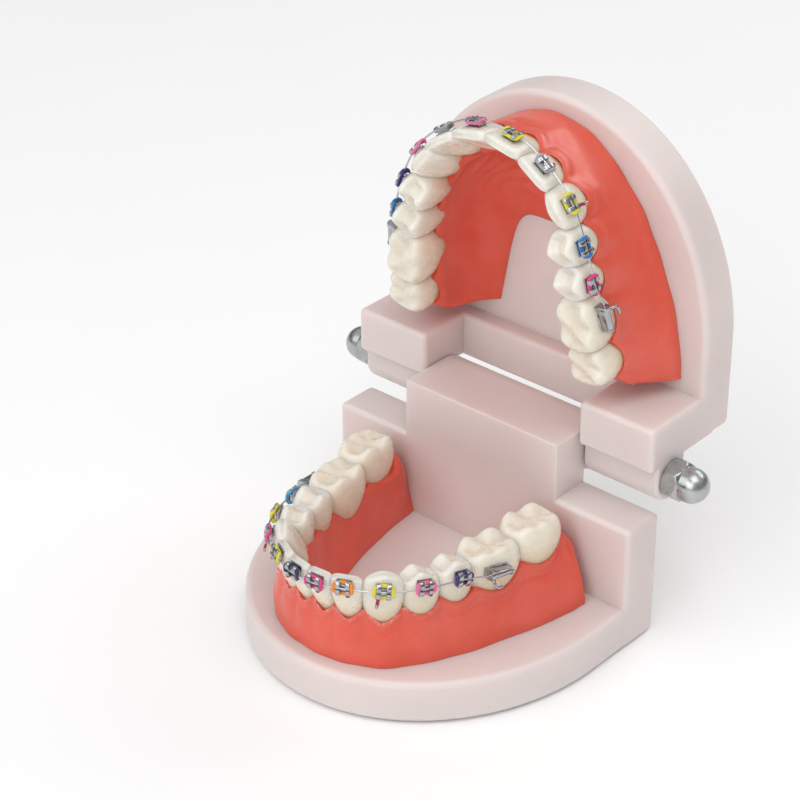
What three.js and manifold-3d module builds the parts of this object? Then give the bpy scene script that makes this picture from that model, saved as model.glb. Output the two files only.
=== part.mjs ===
// Hinged typodont: two plastic bases with rubber gums, teeth and fixed orthodontic appliances.
// Millimetres. +Z up, -Y towards the incisors of the lower jaw, +X the patient's left.
// The origin is the middle of the lower base's underside. The jaws stand open by a right angle.
import * as THREE from "three";
import { mergeVertices } from "three/addons/utils/BufferGeometryUtils.js";
import Module from "manifold-3d";

const wasm = await Module();
wasm.setup();

// ---------- driving dimensions ----------
const BASE_WIDTH = 70;
const BASE_DEPTH = 58.6; // rear face to the front of the D
const STRAIGHT_SIDE = 18.2; // straight part of each side, before the half ellipse
const RIM_RADIUS = 0.9; // rounding along the rim of each plate
const CORNER_RADIUS = 1.6; // rear vertical corners
const RIM_STEPS = 32; // facets round the half ellipse
const LOWER_PLATE = 8.5;
const UPPER_PLATE = 9.2;
const BLOCK_DEPTH = 9.1; // front to back, both of the lower block and of the upper ears
const SHOULDER_HEIGHT = 25.5;
const TOWER_WIDTH = 36;
const TOWER_HEIGHT = 37.1;
const KNUCKLE_RADIUS = 5;
const HINGE_BEHIND = 2.8; // hinge axis behind the rear face of the lower base
const HINGE_HEIGHT = 32.05;
const UPPER_GAP = 2.85; // hinge axis to the rear face of the upper base
const UPPER_FACE = 8.8; // hinge axis to the tooth side of the upper plate
const EAR_HEIGHT = 15; // ears above the tooth side of the upper plate
const BAR_HEIGHT = 3.5; // bar between the ears
const LUG_HALF = 4.2; // half the width of a hinge lug
const LUG_DROP = 0.7; // centre of the lug's round end below the hinge axis
const SIDE_GAP = 0.3; // running gap between tower and lugs
const ROD_RADIUS = 2;
const BORE_RADIUS = 2.08;
const ROD_PAST_BASE = 5.2; // thread that stands out of each lug
const NUT_ACROSS_FLATS = 7;
const NUT_HEX_HEIGHT = 3.2;
const NUT_DOME_RADIUS = 3.3;
const NUT_LENGTH = 7.8;
const NUT_BORE_RADIUS = 2.3;
const GAP = 0.3; // between bonded neighbours
const WIRE_RADIUS = 0.22;
const WIRE_END = 1.1; // wire past the back of each molar tube
const SLOT_OFFSET = 1.45; // face of a tooth to the middle of its bracket slot

// Hinge axis and rear faces in the part's frame
const REAR = BASE_DEPTH / 2;
const HINGE_Y = REAR + HINGE_BEHIND;

// ---------- solids ----------
function solid(geometry) {
  const bare = geometry.index ? geometry.clone() : geometry;
  bare.deleteAttribute("normal");
  bare.deleteAttribute("uv");
  const merged = mergeVertices(bare, 1e-3);
  return new wasm.Manifold(
    new wasm.Mesh({
      numProp: 3,
      vertProperties: new Float32Array(merged.attributes.position.array),
      triVerts: new Uint32Array(merged.index.array),
    }),
  );
}

function geometryOf(made) {
  const mesh = made.getMesh();
  const positions = new Float32Array(mesh.numVert * 3);
  for (let i = 0; i < mesh.numVert; i++) {
    for (let k = 0; k < 3; k++) positions[3 * i + k] = mesh.vertProperties[mesh.numProp * i + k];
  }
  const geometry = new THREE.BufferGeometry();
  geometry.setAttribute("position", new THREE.BufferAttribute(positions, 3));
  geometry.setIndex(new THREE.BufferAttribute(new Uint32Array(mesh.triVerts), 1));
  geometry.computeVertexNormals();
  return geometry;
}

const joined = (...parts) => parts.reduce((sum, part) => sum.add(part));
const cut = (body, ...tools) => tools.reduce((left, tool) => left.subtract(tool), body);

function box(low, high) {
  const size = high.map((value, k) => value - low[k]);
  const geometry = new THREE.BoxGeometry(...size);
  geometry.translate(...low.map((value, k) => value + size[k] / 2));
  return solid(geometry);
}

// A cylinder along X, from x = from to x = to
function rodAlongX(radius, from, to, y, z, sides = 24) {
  const geometry = new THREE.CylinderGeometry(radius, radius, to - from, sides);
  geometry.rotateZ(Math.PI / 2);
  geometry.translate((from + to) / 2, y, z);
  return solid(geometry);
}

// A profile in (y, z), extruded along X
function slabAlongX(points, from, to) {
  const shape = new THREE.Shape(points.map(([y, z]) => new THREE.Vector2(y, z)));
  const geometry = new THREE.ExtrudeGeometry(shape, { depth: to - from, bevelEnabled: false });
  geometry.applyMatrix4(
    new THREE.Matrix4().makeBasis(
      new THREE.Vector3(0, 1, 0),
      new THREE.Vector3(0, 0, 1),
      new THREE.Vector3(1, 0, 0),
    ),
  );
  geometry.translate(from, 0, 0);
  return solid(geometry);
}

function arcPoints(y, z, radius, from, to, steps) {
  const points = [];
  for (let i = 0; i <= steps; i++) {
    const angle = from + ((to - from) * i) / steps;
    points.push([y + radius * Math.cos(angle), z + radius * Math.sin(angle)]);
  }
  return points;
}

// ---------- bases ----------
// A jaw's own frame: the rear face is y = 0, the incisors point to -Y, teeth stand along +Z.
function plateOutline() {
  const inner = BASE_WIDTH / 2 - RIM_RADIUS;
  const reach = BASE_DEPTH - STRAIGHT_SIDE - RIM_RADIUS;
  const points = [];
  for (let i = 0; i <= RIM_STEPS; i++) {
    const angle = Math.PI + (Math.PI * i) / RIM_STEPS;
    points.push([inner * Math.cos(angle), -STRAIGHT_SIDE + reach * Math.sin(angle)]);
  }
  const centre = inner - CORNER_RADIUS;
  const rear = -RIM_RADIUS - CORNER_RADIUS;
  points.push(...arcPoints(centre, rear, CORNER_RADIUS, 0, Math.PI / 2, 3));
  points.push(...arcPoints(-centre, rear, CORNER_RADIUS, Math.PI / 2, Math.PI, 3));
  return new THREE.Shape(points.map(([x, y]) => new THREE.Vector2(x, y)));
}

function plate(thickness) {
  const geometry = new THREE.ExtrudeGeometry(plateOutline(), {
    depth: thickness - 2 * RIM_RADIUS,
    bevelThickness: RIM_RADIUS,
    bevelSize: RIM_RADIUS,
    bevelSegments: 2,
  });
  geometry.translate(0, 0, RIM_RADIUS - thickness);
  return solid(geometry);
}

// A block with its four upright edges rounded, from its footprint in (x, y)
function uprightBlock(left, right, front, back, bottom, top, radius) {
  const shape = new THREE.Shape();
  shape.moveTo(left, front + radius);
  shape.quadraticCurveTo(left, front, left + radius, front);
  shape.lineTo(right - radius, front);
  shape.quadraticCurveTo(right, front, right, front + radius);
  shape.lineTo(right, back - radius);
  shape.quadraticCurveTo(right, back, right - radius, back);
  shape.lineTo(left + radius, back);
  shape.quadraticCurveTo(left, back, left, back - radius);
  const geometry = new THREE.ExtrudeGeometry(shape, {
    depth: top - bottom,
    bevelEnabled: false,
    curveSegments: 4,
  });
  geometry.translate(0, 0, bottom);
  return solid(geometry);
}

function lowerBase() {
  const shoulder = SHOULDER_HEIGHT - LOWER_PLATE;
  const tower = TOWER_HEIGHT - LOWER_PLATE;
  const axisHeight = HINGE_HEIGHT - LOWER_PLATE;
  const half = BASE_WIDTH / 2;
  const footing = -LOWER_PLATE / 2;
  const block = uprightBlock(-half, half, -BLOCK_DEPTH, 0, -LOWER_PLATE, shoulder, CORNER_RADIUS);
  const lowerArc = -Math.PI / 2 - Math.asin(HINGE_BEHIND / KNUCKLE_RADIUS);
  const knuckle = arcPoints(HINGE_BEHIND, axisHeight, KNUCKLE_RADIUS, lowerArc, Math.PI / 2, 18);
  const side = [[-BLOCK_DEPTH, footing], [0, footing], ...knuckle, [-BLOCK_DEPTH, tower]];
  side[side.length - 2][1] = tower;
  const mass = joined(
    plate(LOWER_PLATE),
    block,
    slabAlongX(side, -TOWER_WIDTH / 2, TOWER_WIDTH / 2),
  );
  return cut(mass, rodAlongX(BORE_RADIUS, -half, half, HINGE_BEHIND, axisHeight));
}

function upperBase() {
  const half = BASE_WIDTH / 2;
  const inner = TOWER_WIDTH / 2 + SIDE_GAP;
  const axisY = UPPER_GAP;
  const footing = -UPPER_PLATE / 2;
  const ears = [1, -1].map((side) => {
    const left = Math.min(side * inner, side * half);
    const right = Math.max(side * inner, side * half);
    return uprightBlock(left, right, -BLOCK_DEPTH, 0, footing, EAR_HEIGHT, CORNER_RADIUS / 4);
  });
  const bar = box([-inner - 1, -BLOCK_DEPTH, footing], [inner + 1, 0, BAR_HEIGHT]);
  const roundEnd = arcPoints(axisY + LUG_DROP, UPPER_FACE, LUG_HALF, -Math.PI / 2, Math.PI / 2, 10);
  const lugSide = [[-1, UPPER_FACE - LUG_HALF], ...roundEnd, [-1, UPPER_FACE + LUG_HALF]];
  const lugs = [[-half, -inner], [inner, half]].map(([from, to]) => slabAlongX(lugSide, from, to));
  const mass = joined(plate(UPPER_PLATE), bar, ...ears, ...lugs);
  return cut(mass, rodAlongX(BORE_RADIUS, -half - 1, half + 1, axisY, UPPER_FACE));
}

// ---------- hinge hardware, along X with the hinge axis at y = z = 0 ----------
function hingeRod() {
  const reach = BASE_WIDTH / 2 + ROD_PAST_BASE;
  return rodAlongX(ROD_RADIUS, -reach, reach, 0, 0);
}

// Domed hexagon nut with its seat at x = 0 and its dome towards +X
function acornNut() {
  const corner = NUT_ACROSS_FLATS / Math.sqrt(3);
  const hexagon = new THREE.CylinderGeometry(corner, corner, NUT_HEX_HEIGHT, 6);
  hexagon.rotateZ(-Math.PI / 2);
  hexagon.translate(NUT_HEX_HEIGHT / 2, 0, 0);
  const neck = NUT_LENGTH - NUT_DOME_RADIUS;
  const profile = [new THREE.Vector2(0, NUT_HEX_HEIGHT / 2)];
  profile.push(new THREE.Vector2(NUT_DOME_RADIUS, NUT_HEX_HEIGHT / 2));
  for (let i = 0; i <= 6; i++) {
    const angle = (i / 6) * (Math.PI / 2);
    const radius = i === 6 ? 0 : NUT_DOME_RADIUS * Math.cos(angle);
    profile.push(new THREE.Vector2(radius, neck + NUT_DOME_RADIUS * Math.sin(angle)));
  }
  const dome = new THREE.LatheGeometry(profile, 20);
  dome.rotateZ(-Math.PI / 2);
  const bore = rodAlongX(NUT_BORE_RADIUS, -1, ROD_PAST_BASE + GAP, 0, 0, 16);
  return cut(joined(solid(hexagon), solid(dome)), bore);
}

// ---------- teeth ----------
// A kind of tooth: rings of [height, mesiodistal, buccolingual, facial shift] as fractions of
// the crown, then its cusps as [mesiodistal, buccolingual, height, spread].
const ROOT = [[-0.42, 0.42, 0.42, 0], [0, 0.74, 0.82, 0]];
const KINDS = {
  incisor: {
    rings: [...ROOT, [0.3, 0.84, 0.96, 0], [0.65, 0.97, 0.62, 0.1], [0.9, 1, 0.36, 0.14],
      [0.97, 0.9, 0.22, 0.14]],
    square: 2.5,
    cusps: [],
  },
  canine: {
    rings: [...ROOT, [0.3, 0.9, 1, 0], [0.6, 1, 0.76, 0.08], [0.8, 0.86, 0.5, 0.1],
      [0.93, 0.45, 0.26, 0.1]],
    square: 2.3,
    cusps: [[0, 0.1, 0.07, 0.5]],
  },
  premolar: {
    rings: [...ROOT, [0.3, 0.93, 0.98, 0], [0.6, 1, 1, 0], [0.8, 0.9, 0.84, 0],
      [0.84, 0.5, 0.5, 0]],
    square: 2.5,
    cusps: [[0, 0.5, 0.2, 0.5], [0, -0.52, 0.12, 0.45]],
  },
  molar: {
    rings: [...ROOT, [0.3, 0.97, 0.98, 0], [0.6, 1, 1, 0], [0.8, 0.9, 0.86, 0],
      [0.82, 0.52, 0.5, 0]],
    square: 3,
    cusps: [[-0.48, 0.5, 0.2, 0.42], [0.48, 0.5, 0.17, 0.42], [-0.48, -0.5, 0.17, 0.42],
      [0.48, -0.5, 0.15, 0.42]],
  },
};
const TOOTH_SIDES = 14;

// The crown stands along +Z from its neck at z = 0, and its facial side looks to -Y.
// Grow adds the same thickness all round, which makes the tool for its socket.
function tooth(kind, width, depth, height, grow = 0) {
  const { rings, cusps, square } = KINDS[kind];
  const last = rings.length;
  const profile = [new THREE.Vector2(0, 0)];
  rings.forEach((ring, i) => profile.push(new THREE.Vector2(1, i + 1)));
  profile.push(new THREE.Vector2(0, last + 1));
  const geometry = new THREE.LatheGeometry(profile, TOOTH_SIDES);
  const place = geometry.attributes.position;
  for (let i = 0; i < place.count; i++) {
    const level = Math.round(place.getY(i));
    const [rise, wide, deep, shift] = rings[Math.min(Math.max(level - 1, 0), last - 1)];
    const around = Math.atan2(-place.getZ(i), place.getX(i));
    const onAxis = level === 0 || level === last + 1;
    const cosine = Math.cos(around);
    const sine = Math.sin(around);
    const round = (Math.abs(cosine) ** square + Math.abs(sine) ** square) ** (-1 / square);
    const x = onAxis ? 0 : round * cosine * wide;
    const y = (onAxis ? 0 : round * sine * deep) - shift;
    const bumps = cusps.map(([cx, cy, top, spread]) => {
      const away = ((x - cx) ** 2 + (-y - cy) ** 2) / spread ** 2;
      return top * Math.exp(-away);
    });
    const cusp = level >= last - 1 ? Math.max(0, ...bumps) : 0;
    const scale = onAxis ? 0 : grow * round;
    const end = level <= 1 ? -grow : level >= last ? grow : 0;
    place.setXYZ(
      i,
      (x * width) / 2 + scale * cosine,
      (y * depth) / 2 + scale * sine,
      (rise + cusp) * height + end,
    );
  }
  return solid(geometry);
}

// ---------- appliances ----------
// Frame of a bracket: X along the archwire, -Y away from the tooth, slot centre at the origin.
const SLOT_HALF = 0.42;
const WING_WIDTH = 0.9;
const WING_CENTRE = 0.85;
const PAD = { width: 3, height: 2.8, thickness: 0.4 };

function bracketWing(centre) {
  const back = SLOT_OFFSET - GAP - PAD.thickness / 2; // sunk into the pad
  const upperHalf = [[back, 0.95], [0.35, 0.95], [0.35, 1.4], [-0.35, 1.25], [-0.6, 0.8],
    [-0.6, SLOT_HALF], [SLOT_HALF, SLOT_HALF]];
  const lowerHalf = upperHalf.map(([y, z]) => [y, -z]).reverse();
  return slabAlongX(
    [...upperHalf, ...lowerHalf].reverse(),
    centre - WING_WIDTH / 2,
    centre + WING_WIDTH / 2,
  );
}

function bracket() {
  const back = SLOT_OFFSET - GAP;
  const pad = box(
    [-PAD.width / 2, back - PAD.thickness, -PAD.height / 2],
    [PAD.width / 2, back, PAD.height / 2],
  );
  return joined(pad, bracketWing(WING_CENTRE), bracketWing(-WING_CENTRE));
}

// A molar tube stands on its tooth with a foot that reaches into the enamel
const TUBE = { length: 4.2, half: 0.85, bore: 0.45 };

function buccalTube() {
  const { length, half, bore } = TUBE;
  const outer = box([-length / 2, -half, -half], [length / 2, SLOT_OFFSET + 0.8, half]);
  const hole = box([-length, -bore, -bore], [length, bore, bore]);
  return cut(outer, hole);
}

// ---------- arches ----------
// One row for each tooth of the patient's left half, from the midline back:
// name, kind, x, y, height of the neck, crown width, depth, height, tilt to the face in degrees.
const ARCHES = {
  lower: {
    teeth: [
      ["central_incisor", "incisor", 2.12, -54.2, 10.4, 4.0, 5.0, 8.2, 4],
      ["lateral_incisor", "incisor", 6.45, -52.9, 10.2, 4.7, 5.2, 8.5, 4],
      ["canine", "canine", 11.0, -49.0, 9.8, 6.2, 6.2, 9.6, 3],
      ["first_premolar", "premolar", 14.5, -43.4, 10.6, 6.1, 6.2, 7.5, 0],
      ["second_premolar", "premolar", 16.5, -37.0, 10.4, 6.3, 6.6, 7.6, 0],
      ["first_molar", "molar", 18.1, -28.5, 10.2, 9.6, 8.8, 7.8, 0],
      ["second_molar", "molar", 19.8, -18.6, 11.4, 9.6, 8.8, 7.8, 0],
    ],
    slots: [16.7, 16.8, 16.5, 16.3, 15.8, 14.6], // heights of the wire above the plate
    outerFoot: [[0, -55.4], [8, -54], [14.8, -49.4], [20.2, -40.4], [24.4, -29], [26.9, -17.5],
      [27.3, -9.5]],
    innerFoot: [[0, -43.5], [5, -42], [9.6, -36.5], [12.6, -28.5], [14.8, -18.5], [15.9, -9.5]],
    pad: [12.8, 9.5], // gum behind the last tooth: its height there and at the end
  },
  upper: {
    teeth: [
      ["central_incisor", "incisor", 3.4, -55.0, 12.4, 6.4, 5.6, 9.6, 6],
      ["lateral_incisor", "incisor", 9.5, -52.3, 12.6, 6.0, 5.4, 9.0, 6],
      ["canine", "canine", 14.2, -47.2, 12.2, 6.4, 6.0, 9.2, 4],
      ["first_premolar", "premolar", 17.0, -41.0, 12.8, 6.1, 6.6, 8.6, 0],
      ["second_premolar", "premolar", 18.6, -34.9, 13.0, 5.9, 6.8, 8.2, 0],
      ["first_molar", "molar", 19.9, -26.9, 12.6, 9.4, 8.8, 7.6, 0],
      ["second_molar", "molar", 21.3, -17.9, 11.8, 8.2, 8.6, 6.4, 0],
    ],
    slots: [18.1, 18.2, 18.3, 18.4, 18.1, 16.7],
    outerFoot: [[0, -55.4], [7.8, -53.6], [15.4, -47.6], [21.2, -40], [25.8, -30.5], [29, -20.5],
      [30.2, -10.4]],
    innerFoot: [[0, -35], [4.6, -33.9], [7.6, -31], [9, -26.5], [10.4, -19], [12, -12.6]],
    pad: [11.6, 8],
  },
};
const HALVES = { left: 1, right: -1 };
const BRACKETED = 5; // teeth with a bracket on each side, before the tubed molar

const curveThrough = (points) =>
  new THREE.CatmullRomCurve3(points.map(([x, y, z = 0]) => new THREE.Vector3(x, y, z)));

function mirroredCurve(points) {
  const left = points.filter(([x]) => x > 0);
  const right = left.map(([x, ...rest]) => [-x, ...rest]).reverse();
  return curveThrough([...right, ...points.filter(([x]) => x === 0), ...left]);
}

// Turn about the upright so that the facial side looks away from the arch
function facing(arch, index, side) {
  const rows = arch.teeth;
  const before = index ? rows[index - 1].slice(2, 4) : [-rows[0][2], rows[0][3]];
  const after = index < rows.length - 1 ? rows[index + 1].slice(2, 4) : null;
  const here = rows[index].slice(2, 4);
  const [x0, y0] = before;
  const [x1, y1] = after || [here[0] + 0.4, here[1] + 5];
  return Math.atan2(y1 - y0, x1 - x0) * side;
}

function placeOf(arch, index, side) {
  const [, , x, y, neck, , , , tilt] = arch.teeth[index];
  const turn = facing(arch, index, side);
  const matrix = new THREE.Matrix4().makeTranslation(side * x, y, neck);
  matrix.multiply(new THREE.Matrix4().makeRotationZ(turn));
  matrix.multiply(new THREE.Matrix4().makeRotationX(THREE.MathUtils.degToRad(tilt)));
  return matrix;
}

// How far a tooth's face stands out from its axis at a height, and how it leans there
function faceAt(row, height) {
  const [, kind, , , neck, , depth, crown, tilt] = row;
  const rise = (height - neck) / crown;
  const { rings } = KINDS[kind];
  const next = rings.findIndex(([level]) => level > rise);
  const [low, high] = [rings[next - 1], rings[next]].map(([level, , deep, shift]) => [
    level * crown,
    ((deep + shift) * depth) / 2,
  ]);
  const slope = (high[1] - low[1]) / (high[0] - low[0]);
  const lean = THREE.MathUtils.degToRad(tilt);
  return {
    out: low[1] + slope * (height - neck - low[0]) + (height - neck) * Math.tan(lean),
    lean: lean + Math.atan(slope),
  };
}

function slotPlace(arch, index, side) {
  const row = arch.teeth[index];
  const [, , x, y] = row;
  const turn = facing(arch, index, side);
  const { slots, teeth } = arch;
  const face = faceAt(row, slots[index]);
  const out = face.out + SLOT_OFFSET;
  const along = index < BRACKETED ? 0 : -1.6;
  const before = Math.max(index - 1, 0);
  const after = Math.min(index + 1, BRACKETED);
  const run = Math.hypot(teeth[after][2] - teeth[before][2], teeth[after][3] - teeth[before][3]);
  const rise = index ? Math.atan2(slots[after] - slots[before], run) : 0;
  const matrix = new THREE.Matrix4().makeTranslation(side * x, y, slots[index]);
  matrix.multiply(new THREE.Matrix4().makeRotationZ(turn));
  matrix.multiply(new THREE.Matrix4().makeTranslation(side * along, -out, 0));
  matrix.multiply(new THREE.Matrix4().makeRotationY(-side * rise));
  matrix.multiply(new THREE.Matrix4().makeRotationX(index < BRACKETED ? face.lean : 0));
  return matrix;
}

function toothSolid(row, grow = 0) {
  const [, kind, , , , width, depth, height] = row;
  return tooth(kind, width, depth, height, grow);
}

const moved = (body, matrix) => body.transform(matrix.elements);

function archwire(arch) {
  const half = arch.teeth.slice(0, BRACKETED + 1).map((row, index) => {
    const at = new THREE.Vector3().setFromMatrixPosition(slotPlace(arch, index, 1));
    return [at.x, at.y, at.z];
  });
  half.pop();
  const tube = slotPlace(arch, BRACKETED, 1);
  for (const along of [-TUBE.length / 2, 0, TUBE.length / 2, TUBE.length / 2 + WIRE_END]) {
    half.push(new THREE.Vector3(along, 0, 0).applyMatrix4(tube).toArray());
  }
  const geometry = new THREE.ExtrudeGeometry(
    new THREE.Shape().absarc(0, 0, WIRE_RADIUS, 0, 2 * Math.PI),
    { steps: 64, curveSegments: 3, bevelEnabled: false, extrudePath: mirroredCurve(half) },
  );
  return solid(geometry);
}

// ---------- gums ----------
// A closed band of sections from one end of the arch to the other
const GUM_STATIONS = 40;

function gum(arch) {
  const outer = mirroredCurve(arch.outerFoot);
  const inner = mirroredCurve(arch.innerFoot);
  const rows = arch.teeth;
  const last = rows[rows.length - 1];
  const crest = rows.map(([, , x, y, neck, , depth]) => [x, y, neck, depth]);
  const [[footX, footY], [heelX, heelY]] = [arch.outerFoot, arch.innerFoot].map((row) => row.at(-1));
  const end = [(footX + heelX) / 2, (footY + heelY) / 2];
  const [behind, ending] = arch.pad;
  crest.push([(last[2] + end[0]) / 2, (last[3] + end[1]) / 2 - 0.5, behind, last[6]]);
  crest.push([...end, ending, (footX - heelX) * 0.6]);
  const middle = mirroredCurve(crest.map(([x, y, neck]) => [x, y, neck]));
  const widths = curveThrough(
    [...crest.map((row) => [0, 0, row[3]]).reverse(), ...crest.map((row) => [0, 0, row[3]])],
  );
  const sections = [];
  for (let i = 0; i <= GUM_STATIONS; i++) {
    const t = i / GUM_STATIONS;
    const top = middle.getPoint(t);
    const half = widths.getPoint(t).z / 2 + 0.7;
    const foot = outer.getPointAt(t);
    const heel = inner.getPointAt(t);
    const out = foot.clone().sub(heel).normalize();
    const rim = top.clone().addScaledVector(out, half);
    const lip = top.clone().addScaledVector(out, -half);
    const wall = foot.clone().lerp(rim, 0.55).addScaledVector(out, 0.2);
    const slope = heel.clone().lerp(lip, 0.55).addScaledVector(out, 0.7);
    const shoulder = rim.clone().addScaledVector(out, -0.9);
    const ledge = lip.clone().addScaledVector(out, 0.9);
    rim.z -= 0.9;
    lip.z -= 0.9;
    shoulder.z += 0.2;
    ledge.z += 0.2;
    sections.push([foot, wall, rim, shoulder, ledge, lip, slope, heel]);
  }
  return sections;
}

function bandSolid(sections) {
  const count = sections[0].length;
  const positions = sections.flat().flatMap((point) => point.toArray());
  const triangles = [];
  for (let i = 0; i + 1 < sections.length; i++) {
    for (let k = 0; k < count; k++) {
      const a = i * count + k;
      const b = i * count + ((k + 1) % count);
      triangles.push(a, a + count, b, b, a + count, b + count);
    }
  }
  const ends = [0, (sections.length - 1) * count];
  for (let k = 1; k + 1 < count; k++) {
    triangles.push(ends[0], ends[0] + k, ends[0] + k + 1);
    triangles.push(ends[1], ends[1] + k + 1, ends[1] + k);
  }
  const geometry = new THREE.BufferGeometry();
  geometry.setAttribute("position", new THREE.Float32BufferAttribute(positions, 3));
  geometry.setIndex(triangles);
  return solid(geometry);
}

function gumSolid(arch) {
  const sockets = [];
  arch.teeth.forEach((row, index) => {
    for (const side of Object.values(HALVES)) {
      sockets.push(moved(toothSolid(row, GAP), placeOf(arch, index, side)));
    }
  });
  const lifted = bandSolid(gum(arch)).translate([0, 0, GAP]);
  return cut(lifted, ...sockets);
}

// ---------- assembly ----------
const finishes = {
  base: { color: 0xf0dad6, roughness: 0.45, metalness: 0 },
  gum: { color: 0xe0604c, roughness: 0.35, metalness: 0 },
  enamel: { color: 0xf2ebdc, roughness: 0.25, metalness: 0 },
  steel: { color: 0xb9bcc0, roughness: 0.25, metalness: 1 },
};

const model = new THREE.Group();
const jaws = { lower: new THREE.Group(), upper: new THREE.Group() };
jaws.lower.position.set(0, REAR, LOWER_PLATE);
jaws.upper.position.set(0, HINGE_Y + UPPER_FACE, HINGE_HEIGHT + UPPER_GAP);
jaws.upper.rotation.set(-Math.PI / 2, Math.PI, 0);
model.add(jaws.lower, jaws.upper);

function add(group, name, body, finish) {
  const mesh = new THREE.Mesh(geometryOf(body), new THREE.MeshStandardMaterial(finishes[finish]));
  mesh.name = name;
  group.add(mesh);
  return mesh;
}

add(jaws.lower, "lower_base", lowerBase(), "base");
add(jaws.upper, "upper_base", upperBase(), "base");

for (const [jaw, arch] of Object.entries(ARCHES)) {
  const group = jaws[jaw];
  add(group, `${jaw}_gum`, gumSolid(arch), "gum");
  add(group, `${jaw}_archwire`, archwire(arch), "steel");
  for (const [half, sign] of Object.entries(HALVES)) {
    // The upper jaw is turned over, so its own +X is the patient's right
    const side = jaw === "upper" ? -sign : sign;
    arch.teeth.forEach((row, index) => {
      const name = `${jaw}_${half}_${row[0]}`;
      const place = placeOf(arch, index, side);
      let crown = moved(toothSolid(row), place);
      if (index === BRACKETED) {
        crown = joined(crown, moved(buccalTube(), slotPlace(arch, index, side)));
      }
      add(group, name, crown, "enamel");
      if (index < BRACKETED) {
        add(group, `${name}_bracket`, moved(bracket(), slotPlace(arch, index, side)), "steel");
      }
    });
  }
}

const rod = add(model, "hinge_rod", hingeRod(), "steel");
rod.position.set(0, HINGE_Y, HINGE_HEIGHT);
for (const [half, sign] of Object.entries(HALVES)) {
  const nut = add(model, `acorn_nut_${half}`, acornNut(), "steel");
  nut.position.set(sign * (BASE_WIDTH / 2 + GAP / 2), HINGE_Y, HINGE_HEIGHT);
  nut.rotation.set(0, sign > 0 ? 0 : Math.PI, 0);
}

export default model;
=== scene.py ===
from collections import namedtuple
from math import asin, atan2, copysign, cos, dist, hypot, inf, pi, radians, sin
from types import SimpleNamespace

import bmesh
import bpy
import numpy as np
from mathutils import Matrix, Vector


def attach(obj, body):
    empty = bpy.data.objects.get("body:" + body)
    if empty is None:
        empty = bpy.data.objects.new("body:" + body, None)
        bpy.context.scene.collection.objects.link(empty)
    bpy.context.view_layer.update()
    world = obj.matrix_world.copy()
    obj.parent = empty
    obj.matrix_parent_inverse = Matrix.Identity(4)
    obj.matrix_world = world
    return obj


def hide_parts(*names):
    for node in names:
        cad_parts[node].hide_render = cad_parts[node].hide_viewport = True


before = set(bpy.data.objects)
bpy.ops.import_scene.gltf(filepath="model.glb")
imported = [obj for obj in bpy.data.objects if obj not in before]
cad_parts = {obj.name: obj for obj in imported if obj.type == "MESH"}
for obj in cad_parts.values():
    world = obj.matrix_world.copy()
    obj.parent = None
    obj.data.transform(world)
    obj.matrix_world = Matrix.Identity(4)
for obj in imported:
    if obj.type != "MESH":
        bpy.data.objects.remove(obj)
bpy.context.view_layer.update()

# A hinged typodont. Geometry is worked out in millimetres and written in metres.
# A jaw's own frame has its rear face at y = 0, its incisors towards -Y and its teeth along +Z.
MM = 0.001

# ---------- driving dimensions, as in the CAD ----------
BASE_WIDTH = 70
BASE_DEPTH = 58.6  # rear face to the front of the D
STRAIGHT_SIDE = 18.2  # straight part of each side, before the half ellipse
CORNER = 1.6  # rounding of the two rear corners, seen from above
LOWER_PLATE = 8.5
UPPER_PLATE = 9.2
BLOCK_DEPTH = 9.1  # front to back, both of the lower block and of the upper ears
SHOULDER_HEIGHT = 25.5
TOWER_WIDTH = 36
TOWER_HEIGHT = 37.1
KNUCKLE_RADIUS = 5
HINGE_BEHIND = 2.8  # hinge axis behind the rear face of the lower base
HINGE_HEIGHT = 32.05
UPPER_GAP = 2.85  # hinge axis to the rear face of the upper base
UPPER_FACE = 8.8  # hinge axis to the tooth side of the upper plate
EAR_HEIGHT = 15
BAR_HEIGHT = 3.5
LUG_HALF = 4.2
LUG_DROP = 0.7  # centre of a lug's round end below the hinge axis
SIDE_GAP = 0.3  # between tower and lugs
BORE_RADIUS = 2.08
NUT_ACROSS_FLATS = 7
NUT_HEX_HEIGHT = 3.2
NUT_DOME_RADIUS = 3.3
NUT_LENGTH = 7.8
TUBE_LENGTH = 4.2
WIRE_END = 1.1  # wire past the back of each molar tube
REAR = BASE_DEPTH / 2
HINGE_Y = REAR + HINGE_BEHIND

# ---------- dimensions of the looks only ----------
EDGE = 1.0  # rounding of the moulded edges
RIM = 1.3  # rounding along the rim of each plate
NUT_SEAT = 0.15  # from the lug to the nut
WIRE_RADIUS = 0.17
SLOT_OFFSET = 1.08  # face of a tooth to the middle of its bracket slot
BRACKET_SCALE = (0.92, 0.75, 0.92, 1)
TUBE_SHIFT = -1.6  # middle of a molar tube from the middle of its crown

JAWS = {
    "lower": Matrix.Translation((0, REAR, LOWER_PLATE)),
    "upper": Matrix(((-1, 0, 0, 0), (0, 0, -1, HINGE_Y + UPPER_FACE),
                     (0, -1, 0, HINGE_HEIGHT + UPPER_GAP), (0, 0, 0, 1))),
}

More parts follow.
